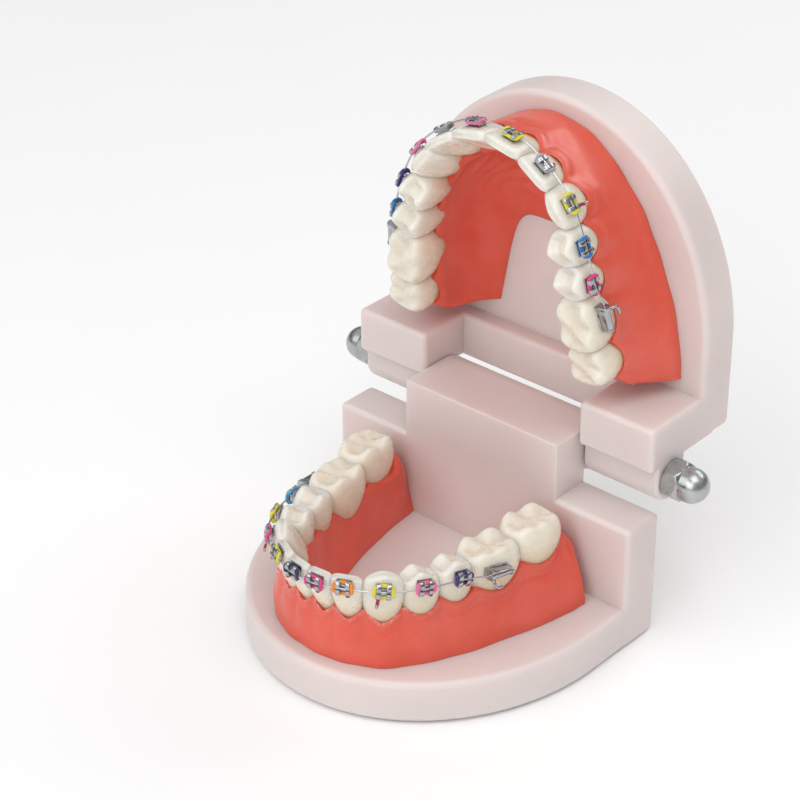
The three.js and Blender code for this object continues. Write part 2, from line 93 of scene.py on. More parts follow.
# neck is the height of the crown's neck above the plate, tilt the degrees it leans to its face
Tooth = namedtuple("Tooth", "name kind x y neck width depth height tilt")
ARCHES = {
    "lower": SimpleNamespace(
        teeth=[
            Tooth("central_incisor", "incisor", 2.12, -52.5, 10.2, 4.0, 5.0, 8.6, 16),
            Tooth("lateral_incisor", "incisor", 6.15, -51.6, 10.0, 4.7, 5.2, 8.9, 13),
            Tooth("canine", "canine", 10.8, -48.4, 9.6, 6.2, 6.2, 9.8, 7),
            Tooth("first_premolar", "lower_premolar", 14.5, -43.4, 10.4, 6.1, 6.2, 7.7, 0),
            Tooth("second_premolar", "lower_premolar", 16.5, -37.0, 10.4, 6.3, 6.6, 7.6, 0),
            Tooth("first_molar", "lower_molar", 18.1, -28.5, 10.2, 9.6, 8.8, 7.8, 0),
            Tooth("second_molar", "lower_molar", 19.8, -18.6, 11.4, 9.6, 8.8, 7.8, 0),
        ],
        slots=[16.8, 17.3, 17.0, 16.4, 15.8, 14.6],
        outer_foot=[(0, -55.4), (8, -54), (14.8, -49.4), (20.2, -40.4), (24.4, -29),
                    (27.4, -17.3), (28.6, -7.6)],
        inner_foot=[(0, -43.5), (5, -42), (9.6, -36.5), (12.6, -28.5), (14.8, -18.5),
                    (16.0, -9.0)],
        # heights of the gum's margin at the middle of each tooth, then at each contact
        facial_margin=[9.4, 9.2, 9.0, 10.2, 10.4, 9.8, 11.2],
        facial_papilla=[11.5, 11.4, 11.7, 12.1, 12.3, 12.0, 13.2, 14.8],
        lingual_margin=[10.4, 10.4, 10.8, 11.5, 11.9, 12.5, 11.9],
        lingual_papilla=[12.2, 12.2, 12.3, 12.7, 12.9, 13.2, 13.0, 14.2],
        pad=13.8,
        roll=1.3,
        sharpness=[1.1, 1.1, 1.15, 1.6, 1.8, 2.0, 2.0],
        fade=3.2,
        swell=0.26,
        end=3.2,
        eminence=[0.25, 0.3, 0.6, 0.35, 0.35, 0.3, 0.25],
        vault=0.12,
    ),
    "upper": SimpleNamespace(
        teeth=[
            Tooth("central_incisor", "incisor", 3.2, -54.0, 12.4, 6.2, 5.2, 9.4, 16),
            Tooth("lateral_incisor", "incisor", 8.9, -51.5, 12.6, 6.0, 5.0, 8.9, 15),
            Tooth("canine", "canine", 13.85, -46.95, 12.2, 6.4, 6.0, 9.1, 9),
            Tooth("first_premolar", "upper_premolar", 17.0, -41.0, 12.8, 6.1, 6.6, 8.6, 0),
            Tooth("second_premolar", "upper_premolar", 18.6, -34.9, 13.0, 5.9, 6.8, 8.2, 0),
            Tooth("first_molar", "upper_molar", 19.9, -26.9, 12.6, 9.4, 8.8, 7.6, 0),
            Tooth("second_molar", "upper_molar", 21.2, -18.6, 11.8, 7.1, 8.6, 6.4, 0),
        ],
        slots=[18.1, 18.2, 18.3, 18.4, 18.1, 16.7],
        outer_foot=[(0, -55.4), (7.8, -53.6), (15.4, -47.6), (21.2, -40), (25.8, -30.5),
                    (29, -20.5), (30.1, -11.9)],
        inner_foot=[(0, -33), (4.4, -33), (6.5, -32.4), (8.2, -30.4), (9.5, -26.3),
                    (10.8, -19.8), (12, -13.2)],
        facial_margin=[11.6, 12.6, 12.4, 13.8, 14.0, 13.1, 11.6],
        facial_papilla=[14.3, 14.5, 15.4, 15.7, 15.8, 15.3, 13.9, 12.0],
        lingual_margin=[12.6, 12.8, 13.5, 14.5, 14.5, 13.9, 12.4],
        lingual_papilla=[14.4, 14.6, 15.2, 15.7, 15.7, 15.2, 14.0, 12.4],
        pad=11.4,
        roll=2.2,
        sharpness=[1.5, 1.5, 1.4, 1.7, 1.8, 2.0, 2.0],
        fade=6.0,
        swell=0.24,
        end=2.4,
        eminence=[0.15, 0.15, 0.35, 0.2, 0.15, 0.15, 0.1],
        vault=0.36,
    ),
}
BRACKETED = 5  # teeth with a bracket on each side; the next one has a tube

# ---------- small tools ----------
def smooth_step(low, high, value):
    t = np.clip((value - low) / (high - low), 0, 1)
    return t * t * (3 - 2 * t)


def bell(value, centre, width):
    return np.exp(-(((value - centre) / width) ** 2))


def table_curve(xs, ys, x):
    """A monotone cubic through the points of a table."""
    xs, ys, x = (np.asarray(v, float) for v in (xs, ys, x))
    run = np.diff(xs)
    slope = np.diff(ys) / run
    product = slope[:-1] * slope[1:]
    total = slope[:-1] + slope[1:]
    inside = np.where(product > 0, 2 * product / np.where(total == 0, 1, total), 0)
    tangent = np.concatenate([[slope[0]], inside, [slope[-1]]])
    i = np.clip(np.searchsorted(xs, x) - 1, 0, len(run) - 1)
    t = np.clip((x - xs[i]) / run[i], 0, 1)
    return (
        ys[i] * (2 * t**3 - 3 * t**2 + 1)
        + ys[i + 1] * (3 * t**2 - 2 * t**3)
        + run[i] * (tangent[i] * (t**3 - 2 * t**2 + t) + tangent[i + 1] * (t**3 - t**2))
    )


def through(points, steps):
    """A uniform Catmull-Rom curve through points, with this many steps between two of them."""
    points = np.asarray(points, float)
    ends = np.vstack([2 * points[0] - points[1], points, 2 * points[-1] - points[-2]])
    out = []
    for i in range(1, len(points)):
        a, b, c, d = ends[i - 1 : i + 3]
        for t in np.arange(steps) / steps:
            out.append(
                0.5 * (2 * b + (c - a) * t + (2 * a - 5 * b + 4 * c - d) * t**2
                       + (3 * b - a - 3 * c + d) * t**3)
            )
    return np.array(out + [points[-1]])


def mirrored(points):
    points = [tuple(p) for p in points]
    left = [p for p in points if p[0] > 0]
    return [(-p[0], *p[1:]) for p in reversed(left)] + [p for p in points if p[0] == 0] + left


def even(path, count):
    """The same path with evenly spaced points."""
    path = np.asarray(path, float)
    length = np.concatenate([[0], np.cumsum(np.linalg.norm(np.diff(path, axis=0), axis=1))])
    at = np.linspace(0, length[-1], count)
    return np.stack([np.interp(at, length, path[:, k]) for k in range(path.shape[1])], axis=1)


class Surface:
    """Vertices in millimetres, faces, the material index of each face and vertex attributes."""

    def __init__(self):
        self.points, self.faces, self.finish, self.values = [], [], [], {}

    def add(self, points, faces, finish=0, **values):
        start = len(self.points)
        self.points += [tuple(map(float, p)) for p in points]
        self.faces += [tuple(start + k for k in face) for face in faces]
        self.finish += [finish] * len(faces)
        for key, value in values.items():
            self.values.setdefault(key, []).extend(float(v) for v in value)
        return self

    def moved(self, matrix, flip=False):
        out = Surface()
        out.points = [tuple(matrix @ Vector(p)) for p in self.points]
        out.faces = [tuple(reversed(f)) if flip else f for f in self.faces]
        out.finish, out.values = list(self.finish), dict(self.values)
        return out

    def piece(self, name, body, nodes, slot, materials, sharp=None):
        mesh = bpy.data.meshes.new(name)
        mesh.from_pydata([Vector(p) * MM for p in self.points], [], self.faces)
        for material in materials:
            mesh.materials.append(material)
        mesh.polygons.foreach_set("material_index", self.finish)
        for key, value in self.values.items():
            mesh.attributes.new(key, "FLOAT", "POINT").data.foreach_set("value", value)
        mesh.update()
        finish_piece(bpy.data.objects.new(name, mesh), body, nodes, sharp)


def finish_piece(piece, body, nodes, sharp):
    if not piece.users_collection:
        bpy.context.scene.collection.objects.link(piece)
    mesh = piece.data
    mesh.polygons.foreach_set("use_smooth", [True] * len(mesh.polygons))
    if sharp is not None:
        mesh.set_sharp_from_angle(angle=radians(sharp))
    mesh.update()
    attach(piece, body)
    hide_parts(*nodes)


def grid_faces(rows, columns):
    """The faces of a grid of points whose columns close into a ring."""
    beside = [*range(1, columns), 0]
    return [(r * columns + c, r * columns + d, (r + 1) * columns + d, (r + 1) * columns + c)
            for r in range(rows - 1) for c, d in enumerate(beside)]


def fans(rows, columns):
    """The faces that close a grid to two points after it, one for each end."""
    low, high, last = rows * columns, rows * columns + 1, (rows - 1) * columns
    faces = []
    for k in range(columns):
        n = (k + 1) % columns
        faces += [(low, n, k), (high, last + k, last + n)]
    return faces


def sweep(path, radius, sides=12, closed=False, finish=0, up=(0, 0, 1)):
    """A tube along a path. radius is a number or one for each point."""
    path = np.asarray(path, float)
    count = len(path)
    radii = np.broadcast_to(np.asarray(radius, float), (count,))
    if closed:
        along = np.roll(path, -1, axis=0) - np.roll(path, 1, axis=0)
    else:
        along = np.gradient(path, axis=0)
    along /= np.linalg.norm(along, axis=1)[:, None]
    normal = np.asarray(up, float)
    points = []
    for i in range(count):
        normal = normal - along[i] * normal.dot(along[i])
        normal /= np.linalg.norm(normal)
        across = np.cross(along[i], normal)
        for k in range(sides):
            angle = 2 * pi * k / sides
            points.append(path[i] + radii[i] * (cos(angle) * normal + sin(angle) * across))
    faces = [[k % len(points) for k in face] for face in grid_faces(count + closed, sides)]
    if not closed:
        faces += [range(sides)[::-1], range((count - 1) * sides, count * sides)]
    return Surface().add(points, faces, finish)


def bevelled(bm, edges, radius, segments, clamp=False):
    bmesh.ops.bevel(bm, geom=edges, offset=radius, segments=segments, profile=0.5,
                    affect="EDGES", clamp_overlap=clamp)
    return bm


def rounded_box(low, high, radius, segments):
    bm = bmesh.new()
    bmesh.ops.create_cube(bm, size=1)
    size = [h - l for l, h in zip(low, high)]
    middle = [(h + l) / 2 for l, h in zip(low, high)]
    bmesh.ops.transform(
        bm, matrix=Matrix.Translation(middle) @ Matrix.Diagonal((*size, 1)), verts=bm.verts
    )
    return bevelled(bm, list(bm.edges), radius, segments)


def lofted(rings, caps_first=False):
    """A closed solid through rings of points. The order of its faces settles how a later bevel or
    union numbers and splits them."""
    bm = bmesh.new()
    verts = [[bm.verts.new(p) for p in ring] for ring in rings]
    caps = [verts[0][::-1], verts[-1]]
    walls = [corners for low, high in zip(verts, verts[1:])
             for corners in zip(low, low[1:] + low[:1], high[1:] + high[:1], high)]
    for face in caps + walls if caps_first else walls + caps:
        bm.faces.new(face)
    bmesh.ops.recalc_face_normals(bm, faces=bm.faces)
    return bm


def rounded_slab(profile, start, end, radius, segments, keep=20):
    """A closed profile of (y, z) extruded along X, with both its ends and its corners sharper than
    keep degrees rounded."""
    bm = lofted([[(x, y, z) for y, z in profile] for x in (start, end)], True)
    edges = [e for e in bm.edges if e.calc_face_angle(0) > radians(keep)]
    return bevelled(bm, edges, radius, segments, True)


def surface_of(bm, finish=0):
    bm.verts.ensure_lookup_table()
    out = Surface().add(
        [v.co for v in bm.verts], [[v.index for v in f.verts] for f in bm.faces], finish
    )
    bm.free()
    return out


def merged(*surfaces):
    out = Surface()
    for s in surfaces:
        out.add(s.points, s.faces, 0)
        out.finish[-len(s.faces):] = s.finish
    return out


# ---------- materials ----------
def linear(*rgb):
    return tuple(
        (c / 255 / 12.92) if c / 255 <= 0.04045 else ((c / 255 + 0.055) / 1.055) ** 2.4
        for c in rgb
    ) + (1,)


def set_stops(ramp, stops):
    marks = ramp.color_ramp.elements
    while len(marks) < len(stops):
        marks.new(0.5)
    for mark, (at, colour) in zip(marks, stops):
        mark.position, mark.color = at, (*colour[:3], 1)


class Finish:
    """A node material around one Principled shader."""

    def __init__(self, name, **shader):
        self.material = bpy.data.materials.new(name)
        self.material.use_nodes = True
        self.tree = self.material.node_tree
        self.shader = self.tree.nodes["Principled BSDF"]
        self.feed(self.shader, **shader)
        self.place = self.node("ShaderNodeTexCoord").outputs["Object"]

    def join(self, value, socket):
        """Gives a socket a constant or another node's output."""
        if hasattr(value, "is_output"):
            self.tree.links.new(value, socket)
        else:
            socket.default_value = value

    def feed(self, node, **inputs):
        for key, value in inputs.items():
            self.join(value, node.inputs[key.replace("_", " ")])

    def node(self, kind, settings=(), **inputs):
        made = self.tree.nodes.new(kind)
        for key, value in dict(settings).items():
            setattr(made, key, value)
        self.feed(made, **inputs)
        return made

    def attribute(self, name):
        return self.node("ShaderNodeAttribute", {"attribute_name": name}).outputs["Fac"]

    def noise(self, scale, detail=3, roughness=0.5):
        return self.node("ShaderNodeTexNoise", Vector=self.place, Scale=scale, Detail=detail,
                         Roughness=roughness).outputs["Fac"]

    def ramp(self, value, *stops):
        made = self.node("ShaderNodeValToRGB", Fac=value)
        set_stops(made, stops)
        return made.outputs["Color"]

    def spread(self, value, low, high, start=0.3, stop=0.7):
        return self.node("ShaderNodeMapRange", Value=value, From_Min=start, From_Max=stop,
                         To_Min=low, To_Max=high).outputs["Result"]

    def mix(self, factor, a, b, blend="MIX"):
        made = self.node("ShaderNodeMix", {"data_type": "RGBA", "blend_type": blend})
        for socket, value in zip([s for s in made.inputs if s.enabled], (factor, a, b)):
            self.join(value, socket)
        return next(s for s in made.outputs if s.enabled)

    def product(self, *factors):
        made = self.node("ShaderNodeMath", {"operation": "MULTIPLY"})
        for factor, socket in zip(factors, made.inputs):
            self.join(factor, socket)
        return made.outputs["Value"]

    def specks(self, cells, radius, share):
        """1 inside small round specks: cells per metre, radius in cells, share of the cells."""
        made = self.node("ShaderNodeTexVoronoi", Vector=self.place, Scale=cells)
        near = self.spread(made.outputs["Distance"], 1, 0, radius * 0.6, radius)
        parts = self.node("ShaderNodeSeparateColor", Color=made.outputs["Color"])
        chosen = self.spread(parts.outputs["Red"], 0, 1, 1 - share, 1 - share + 0.01)
        return self.product(near, chosen)

    def coat(self, colour, roughness):
        if colour is not None:
            self.feed(self.shader, Base_Color=colour)
        self.feed(self.shader, Roughness=roughness)

    def bump(self, height, depth):
        made = self.node("ShaderNodeBump", Height=height, Distance=depth)
        earlier = self.shader.inputs["Normal"].links
        if earlier:
            self.join(earlier[0].from_socket, made.inputs["Normal"])
        self.join(made.outputs["Normal"], self.shader.inputs["Normal"])


def pink_plastic():
    f = Finish("pink_plastic", Subsurface_Weight=0.5, Subsurface_Scale=0.005,
               Subsurface_Radius=(1.0, 0.6, 0.55), Coat_Weight=0.12, Coat_Roughness=0.25, IOR=1.46)
    cloud = f.ramp(f.noise(45, 4, 0.55), (0.3, linear(218, 206, 203)), (0.7, linear(224, 213, 210)))
    dust = f.specks(150, 0.022, 0.12)
    f.coat(f.mix(dust, cloud, linear(120, 88, 80)), f.spread(f.noise(900, 4), 0.34, 0.46))
    f.bump(f.noise(2600), 0.000012)
    f.bump(f.noise(120, 2), 0.00006)
    return f.material


def gum_rubber():
    f = Finish("gum_rubber", Subsurface_Weight=0.25, Subsurface_Scale=0.003,
               Subsurface_Radius=(1.0, 0.25, 0.15), Coat_Weight=0.35, Coat_Roughness=0.16, IOR=1.45)
    tone = f.ramp(f.noise(90, 5, 0.6), (0.28, linear(217, 78, 57)), (0.5, linear(224, 87, 66)),
                  (0.75, linear(229, 98, 78)))
    fleck = f.specks(420, 0.055, 0.07)
    grain = f.spread(f.noise(1300, 4, 0.7), 0, 0.7, 0.45, 0.7)
    tone = f.mix(f.product(f.attribute("edge"), grain), tone, linear(246, 206, 196))
    f.coat(f.mix(fleck, tone, linear(246, 190, 176)), f.spread(f.noise(700, 4), 0.3, 0.44))
    f.bump(f.noise(1500), 0.00002)
    f.bump(f.noise(260), 0.00012)
    f.bump(fleck, 0.00005)
    return f.material


def enamel(name, neck, body, tip):
    f = Finish(name, Subsurface_Weight=0.7, Subsurface_Scale=0.0045,
               Subsurface_Radius=(1.0, 0.85, 0.65), Coat_Weight=0.3, Coat_Roughness=0.12, IOR=1.5)
    shade = f.ramp(f.attribute("rise"), (0.0, neck), (0.45, body), (0.95, tip))
    mottle = f.ramp(f.noise(160), (0.3, (0.96, 0.95, 0.93)), (0.7, (1, 1, 1)))
    shade = f.mix(1.0, shade, mottle, "MULTIPLY")
    # painted shade: the fissures of the chewing surface are tinted up to 35 % of the way towards the
    # darker neck colour, where shade falls in them
    shade = f.mix(f.spread(f.attribute("groove"), 0, 0.35, 0, 1), shade, neck)
    f.coat(shade, f.spread(f.noise(600), 0.2, 0.32))
    f.bump(f.noise(300, 2), 0.000012)
    f.bump(f.noise(2200, 2), 0.000002)
    return f.material


def shaded(f, noise, start, stop, dim, colour):
    """A colour that a noise dims where it is low."""
    return f.ramp(noise, (start, [c * dim for c in colour[:3]]), (stop, colour))


def steel(name, colour, low, high, grain):
    f = Finish(name, Metallic=1.0)
    shade = shaded(f, f.noise(grain * 0.4, 4, 0.6), 0.35, 0.65, 0.82, colour)
    f.coat(shade, f.spread(f.noise(grain, 4, 0.6), low, high))
    f.bump(f.noise(grain * 1.6), 0.000008)
    return f.material


def elastomer(name, colour, clear):
    f = Finish(name, Subsurface_Weight=0.15, Subsurface_Scale=0.0008,
               Transmission_Weight=clear, Coat_Weight=0.3, Coat_Roughness=0.2, IOR=1.45)
    f.coat(shaded(f, f.noise(900), 0.3, 0.7, 0.86, colour), f.spread(f.noise(1800), 0.3, 0.45))
    f.bump(f.noise(3500, 2), 0.00001)
    return f.material


def paint():
    f = Finish("red_marker_paint", Coat_Weight=0.5, Coat_Roughness=0.15)
    f.coat(f.ramp(f.noise(1500), (0.3, linear(140, 10, 22)), (0.7, linear(178, 16, 34))),
           f.spread(f.noise(2500), 0.25, 0.4))
    f.bump(f.noise(3000), 0.000012)
    return f.material


PLASTIC = pink_plastic()
RUBBER = gum_rubber()
ENAMEL = {
    name: enamel(name, *(linear(*colour) for colour in colours))
    for name, *colours in (
        ("enamel_front", (227, 206, 174), (231, 222, 205), (231, 227, 217)),
        ("enamel_back", (226, 203, 168), (231, 219, 199), (232, 226, 213)),
    )
}
STEEL = steel("bracket_steel", linear(182, 183, 186), 0.1, 0.24, 1400)
WIRE = steel("archwire_steel", linear(208, 209, 212), 0.16, 0.3, 1600)
ZINC = steel("zinc_hardware", linear(186, 189, 189), 0.18, 0.4, 700)
PAINT = paint()
TIES = {
    name: elastomer(f"elastomer_{name}", linear(*colour), 0.25 if name == "grey" else 0.0)
    for name, *colour in (
        ("magenta", 222, 60, 130),
        ("pink", 240, 110, 160),
        ("orange", 244, 140, 30),
        ("yellow", 226, 214, 50),
        ("violet", 58, 38, 120),
        ("navy", 28, 36, 84),
        ("sky", 66, 160, 206),
        ("blue", 44, 120, 196),
        ("grey", 176, 180, 182),
    )
}
TIE_COLOURS = {  # from the central incisor back
    "lower_left": ["magenta", "orange", "yellow", "pink", "violet"],
    "lower_right": ["navy", "yellow", "magenta", "yellow", "sky"],
    "upper_left": ["yellow", "grey", "yellow", "blue", "magenta"],
    "upper_right": ["pink", "grey", "pink", "violet", "blue"],
}

# ---------- bases ----------
def object_of(bm, name):
    mesh = bpy.data.meshes.new(name)
    bm.to_mesh(mesh)
    bm.free()
    made = bpy.data.objects.new(name, mesh)
    bpy.context.scene.collection.objects.link(made)
    return made


def combine(first, others, operation):
    for other in others:
        step = first.modifiers.new("step", "BOOLEAN")
        step.operation, step.solver, step.object = operation, "MANIFOLD", other
        evaluated = first.evaluated_get(bpy.context.evaluated_depsgraph_get())
        mesh = bpy.data.meshes.new_from_object(evaluated)
        first.modifiers.clear()
        old, first.data = first.data, mesh
        bpy.data.meshes.remove(old)
    for other in others:
        mesh = other.data
        bpy.data.objects.remove(other)
        bpy.data.meshes.remove(mesh)


def arc(y, z, radius, start, end, steps):
    angles = [start + (end - start) * i / steps for i in range(steps + 1)]
    return [(y + radius * cos(a), z + radius * sin(a)) for a in angles]


def plate(thickness):
    """The D of a base, with its rim rounded by an elliptical profile."""
    reach, half = BASE_DEPTH - STRAIGHT_SIDE, BASE_WIDTH / 2
    quarter = [pi / 2 * k / 6 for k in range(7)]
    front = [pi * (1 + k / 120) for k in range(121)]
    levels = [(RIM * (1 - sin(a)), -thickness + RIM * (1 - cos(a))) for a in quarter]
    levels += [(inset, -thickness - z) for inset, z in reversed(levels)]
    rings = []
    for inset, z in levels:
        ring = [((half - inset) * cos(a), -STRAIGHT_SIDE + (reach - inset) * sin(a))
                for a in front]
        for side, start in ((1, 0), (-1, pi / 2)):
            ring += arc(side * (half - inset - CORNER), -inset - CORNER, CORNER, start,
                        start + pi / 2, 6)
        rings.append([(x, y, z) for x, y in ring])
    return lofted(rings)


def bore(y, z, half):
    bm = bmesh.new()
    turn = Matrix.Translation((0, y, z)) @ Matrix.Rotation(pi / 2, 4, "Y")
    bmesh.ops.create_cone(bm, cap_ends=True, segments=48, radius1=BORE_RADIUS,
                          radius2=BORE_RADIUS, depth=2 * half, matrix=turn)
    return bm


def base_piece(jaw, solids, hole):
    whole = object_of(solids[0], f"{jaw}_base_moulding")
    combine(whole, [object_of(bm, "solid") for bm in solids[1:]], "UNION")
    combine(whole, [object_of(hole, "hole")], "DIFFERENCE")
    bm = bmesh.new()
    bm.from_mesh(whole.data)
    bmesh.ops.remove_doubles(bm, verts=bm.verts, dist=0.002)
    bmesh.ops.dissolve_limit(bm, angle_limit=radians(0.4), verts=bm.verts, edges=bm.edges,
                             delimit={"SHARP"})
    bmesh.ops.transform(bm, matrix=Matrix.Scale(MM, 4) @ JAWS[jaw], verts=bm.verts)
    bm.to_mesh(whole.data)
    bm.free()
    whole.data.materials.clear()
    whole.data.materials.append(PLASTIC)
    finish_piece(whole, f"{jaw}_jaw", [f"{jaw}_base"], 32)
    level = whole.modifiers.new("weighted", "WEIGHTED_NORMAL")
    level.keep_sharp, level.weight = True, 80


def lower_base():
    half, tower = BASE_WIDTH / 2, TOWER_HEIGHT - LOWER_PLATE
    axis = HINGE_HEIGHT - LOWER_PLATE
    block = rounded_box((-half, -BLOCK_DEPTH, -LOWER_PLATE),
                        (half, 0, SHOULDER_HEIGHT - LOWER_PLATE), EDGE, 4)
    under = -pi / 2 - asin(HINGE_BEHIND / KNUCKLE_RADIUS)
    knuckle = arc(HINGE_BEHIND, axis, KNUCKLE_RADIUS, under, pi / 2, 40)
    footing = -LOWER_PLATE / 2
    profile = [(-BLOCK_DEPTH, footing), (-0.4, footing), (-0.4, knuckle[0][1])]
    profile += knuckle[:-1] + [(HINGE_BEHIND, tower), (-BLOCK_DEPTH, tower)]
    column = rounded_slab(profile, -TOWER_WIDTH / 2, TOWER_WIDTH / 2, EDGE * 0.85, 4)
    base_piece("lower", [plate(LOWER_PLATE), block, column],
               bore(HINGE_BEHIND, axis, half))


def upper_base():
    half, inner = BASE_WIDTH / 2, TOWER_WIDTH / 2 + SIDE_GAP
    footing = -UPPER_PLATE / 2
    solids = [plate(UPPER_PLATE)]
    end = arc(UPPER_GAP + LUG_DROP, UPPER_FACE, LUG_HALF, -pi / 2, pi / 2, 32)
    lug = [(-2, UPPER_FACE - LUG_HALF)] + end + [(-2, UPPER_FACE + LUG_HALF)]
    for side in (1, -1):
        near, far = sorted((side * inner, side * half))
        solids.append(rounded_box((near, -BLOCK_DEPTH, footing), (far, 0, EAR_HEIGHT), EDGE, 4))
        solids.append(rounded_slab(lug, near, far, 0.7, 4))
    solids.append(rounded_box((-inner - 1.5, -BLOCK_DEPTH, footing),
                              (inner + 1.5, 0, BAR_HEIGHT), EDGE, 4))
    base_piece("upper", solids, bore(UPPER_GAP, UPPER_FACE, half + 1))


# ---------- hinge hardware ----------
def acorn_nut(sign):
    """A domed nut about +X: a chamfered hexagon, then a neck and a dome."""
    flat, sides, chamfer, hex_rows = NUT_ACROSS_FLATS / 2, 96, 0.75, 25
    angles = [2 * pi * k / sides for k in range(sides)]
    hexagon = [flat / cos((a % (pi / 3)) - pi / 6) for a in angles]
    rows = [(0.0, 2.2)]
    for x in np.linspace(0, NUT_HEX_HEIGHT, hex_rows):
        edge = min(x, NUT_HEX_HEIGHT - x)
        rows.append((x, flat + 0.05 + 0.62 * edge / chamfer if edge < chamfer else inf))
    rows += [(NUT_HEX_HEIGHT + 0.05, flat - 0.02), (NUT_HEX_HEIGHT + 0.12, NUT_DOME_RADIUS + 0.1),
             (NUT_HEX_HEIGHT + 0.25, NUT_DOME_RADIUS)]
    dome = arc(NUT_LENGTH - NUT_DOME_RADIUS, 0, NUT_DOME_RADIUS, pi / 2, 0, 16)
    rows += dome[:-1]
    points = []
    for i, (x, limit) in enumerate(rows):
        for a, h in zip(angles, hexagon):
            radius = min(h, limit) if 0 < i <= hex_rows else limit
            points.append((x, radius * cos(a), radius * sin(a)))
    points += [(0, 0, 0), (NUT_LENGTH, 0, 0)]
    faces = grid_faces(len(rows), sides) + fans(len(rows), sides)
    place = Matrix.Translation((sign * (BASE_WIDTH / 2 + NUT_SEAT), HINGE_Y, HINGE_HEIGHT))
    turn = Matrix.Rotation(radians(18), 4, "X") @ Matrix.Rotation(
        0 if sign > 0 else pi, 4, "Z")
    name = "acorn_nut_left" if sign > 0 else "acorn_nut_right"
    Surface().add(points, faces).moved(place @ turn).piece(
        f"{name}_cap", "upper_jaw", [name], "zinc_hardware", [ZINC], 28)


# ---------- crowns ----------
# A crown stands along +Z from its neck at z = 0, -Y is its face and +X is distal.
# Sizes are fractions of half the width, half the depth and the height.
FRONT_LEVELS = [-0.3, -0.12, 0, 0.12, 0.3, 0.5, 0.65, 0.78, 0.9, 0.97, 1.0]
FRONT = {
    "incisor": {
        "side": [0.58, 0.74, 0.82, 0.88, 0.94, 0.985, 1.0, 1.0, 0.995, 0.98, 0.95],
        "facial": [0.52, 0.62, 0.7, 0.78, 0.87, 0.9, 0.85, 0.76, 0.65, 0.56, 0.44],
        "lingual": [0.6, 0.78, 0.88, 0.92, 0.84, 0.6, 0.42, 0.28, 0.15, 0.07, -0.02],
        "square": [2.1, 2.1, 2.2, 2.5, 3.0, 3.4, 3.7, 4.1, 4.4, 4.6, 4.6],
        "corner": (0.03, 0.05),
        "point": 0.0,
    },
    "canine": {
        "side": [0.58, 0.74, 0.82, 0.88, 0.95, 1.0, 1.0, 0.985, 0.94, 0.85, 0.7],
        "facial": [0.56, 0.68, 0.77, 0.86, 0.94, 0.97, 0.9, 0.8, 0.66, 0.54, 0.36],
        "lingual": [0.6, 0.8, 0.92, 1.0, 0.96, 0.78, 0.6, 0.44, 0.26, 0.13, 0.0],
        "square": [2.0, 2.1, 2.2, 2.4, 2.6, 2.7, 2.8, 2.8, 2.7, 2.6, 2.5],
        "corner": (0.0, 0.02),
        "point": 0.15,
    },
}
BACK_LEVELS = [-0.3, -0.12, 0, 0.1, 0.22, 0.36, 0.46, 0.55]
BACK_SIDE = [0.76, 0.84, 0.885, 0.915, 0.95, 0.985, 1.0, 0.995]
BACK_DEEP = [0.78, 0.87, 0.925, 0.955, 0.98, 1.0, 1.0, 0.985]
RIM_SCALE = 0.8  # the rim of the chewing surface, as a share of the section
# Ridges of the chewing surface: both ends as (x, y, height), then how steeply they fall
BACK = {
    "lower_premolar": {
        "square": 2.6,
        "ridges": [
            ((0, -0.5, 1.04), (0, -0.1, 0.89), 0.36),
            ((-0.08, 0.6, 0.98), (0, 0.18, 0.86), 0.38),
            ((-0.9, -0.5, 0.85), (-0.84, 0.5, 0.85), 0.4),
            ((0.9, -0.5, 0.85), (0.84, 0.5, 0.85), 0.4),
        ],
        "dents": [],
    },
    "upper_premolar": {
        "square": 2.5,
        "ridges": [
            ((0, -0.58, 1.04), (0, -0.12, 0.88), 0.4),
            ((0, 0.58, 1.02), (0, 0.12, 0.88), 0.4),
            ((-0.9, -0.4, 0.83), (-0.84, 0.42, 0.83), 0.45),
            ((0.9, -0.4, 0.83), (0.84, 0.42, 0.83), 0.45),
        ],
        "dents": [],
    },
    "lower_molar": {
        "square": 2.9,
        "ridges": [
            ((-0.52, -0.62, 1.01), (-0.22, -0.14, 0.86), 0.5),
            ((0.1, -0.66, 1.0), (0.06, -0.14, 0.86), 0.5),
            ((0.64, -0.48, 0.96), (0.34, -0.08, 0.85), 0.5),
            ((-0.46, 0.66, 1.07), (-0.2, 0.14, 0.86), 0.52),
            ((0.46, 0.64, 1.04), (0.24, 0.14, 0.86), 0.52),
            ((-0.92, -0.4, 0.91), (-0.9, 0.42, 0.92), 0.5),
            ((0.92, -0.2, 0.9), (0.9, 0.4, 0.91), 0.5),
        ],
        "dents": [(-0.22, -1, 0.045), (0.4, -1, 0.03), (0.0, 1, 0.05)],
    },
    "upper_molar": {
        "square": 2.8,
        "ridges": [
            ((-0.46, -0.64, 1.04), (-0.24, -0.14, 0.86), 0.52),
            ((0.44, -0.62, 1.0), (0.2, -0.08, 0.9), 0.52),
            ((-0.4, 0.6, 1.04), (0.14, 0.0, 0.89), 0.5),
            ((0.54, 0.62, 0.98), (0.42, 0.2, 0.85), 0.54),
            ((-0.92, -0.4, 0.9), (-0.9, 0.4, 0.91), 0.5),
            ((0.92, -0.35, 0.89), (0.9, 0.4, 0.88), 0.5),
        ],
        "dents": [(-0.02, -1, 0.05), (0.22, 1, 0.06)],
    },
}
CROWN_SIDES = 64
AROUND = (2 * pi * np.arange(CROWN_SIDES) / CROWN_SIDES)[None, :]
TIP_ROUND = 0.22  # rounding of every ridge and cusp
CUSP_FALL = 1.3  # steepens the falls of all ridges
GROOVE_SHARP = 24.0  # how sharply ridges meet in their grooves
OVERLAP = 0.1  # how far each crown reaches into its neighbour, as a share of its width


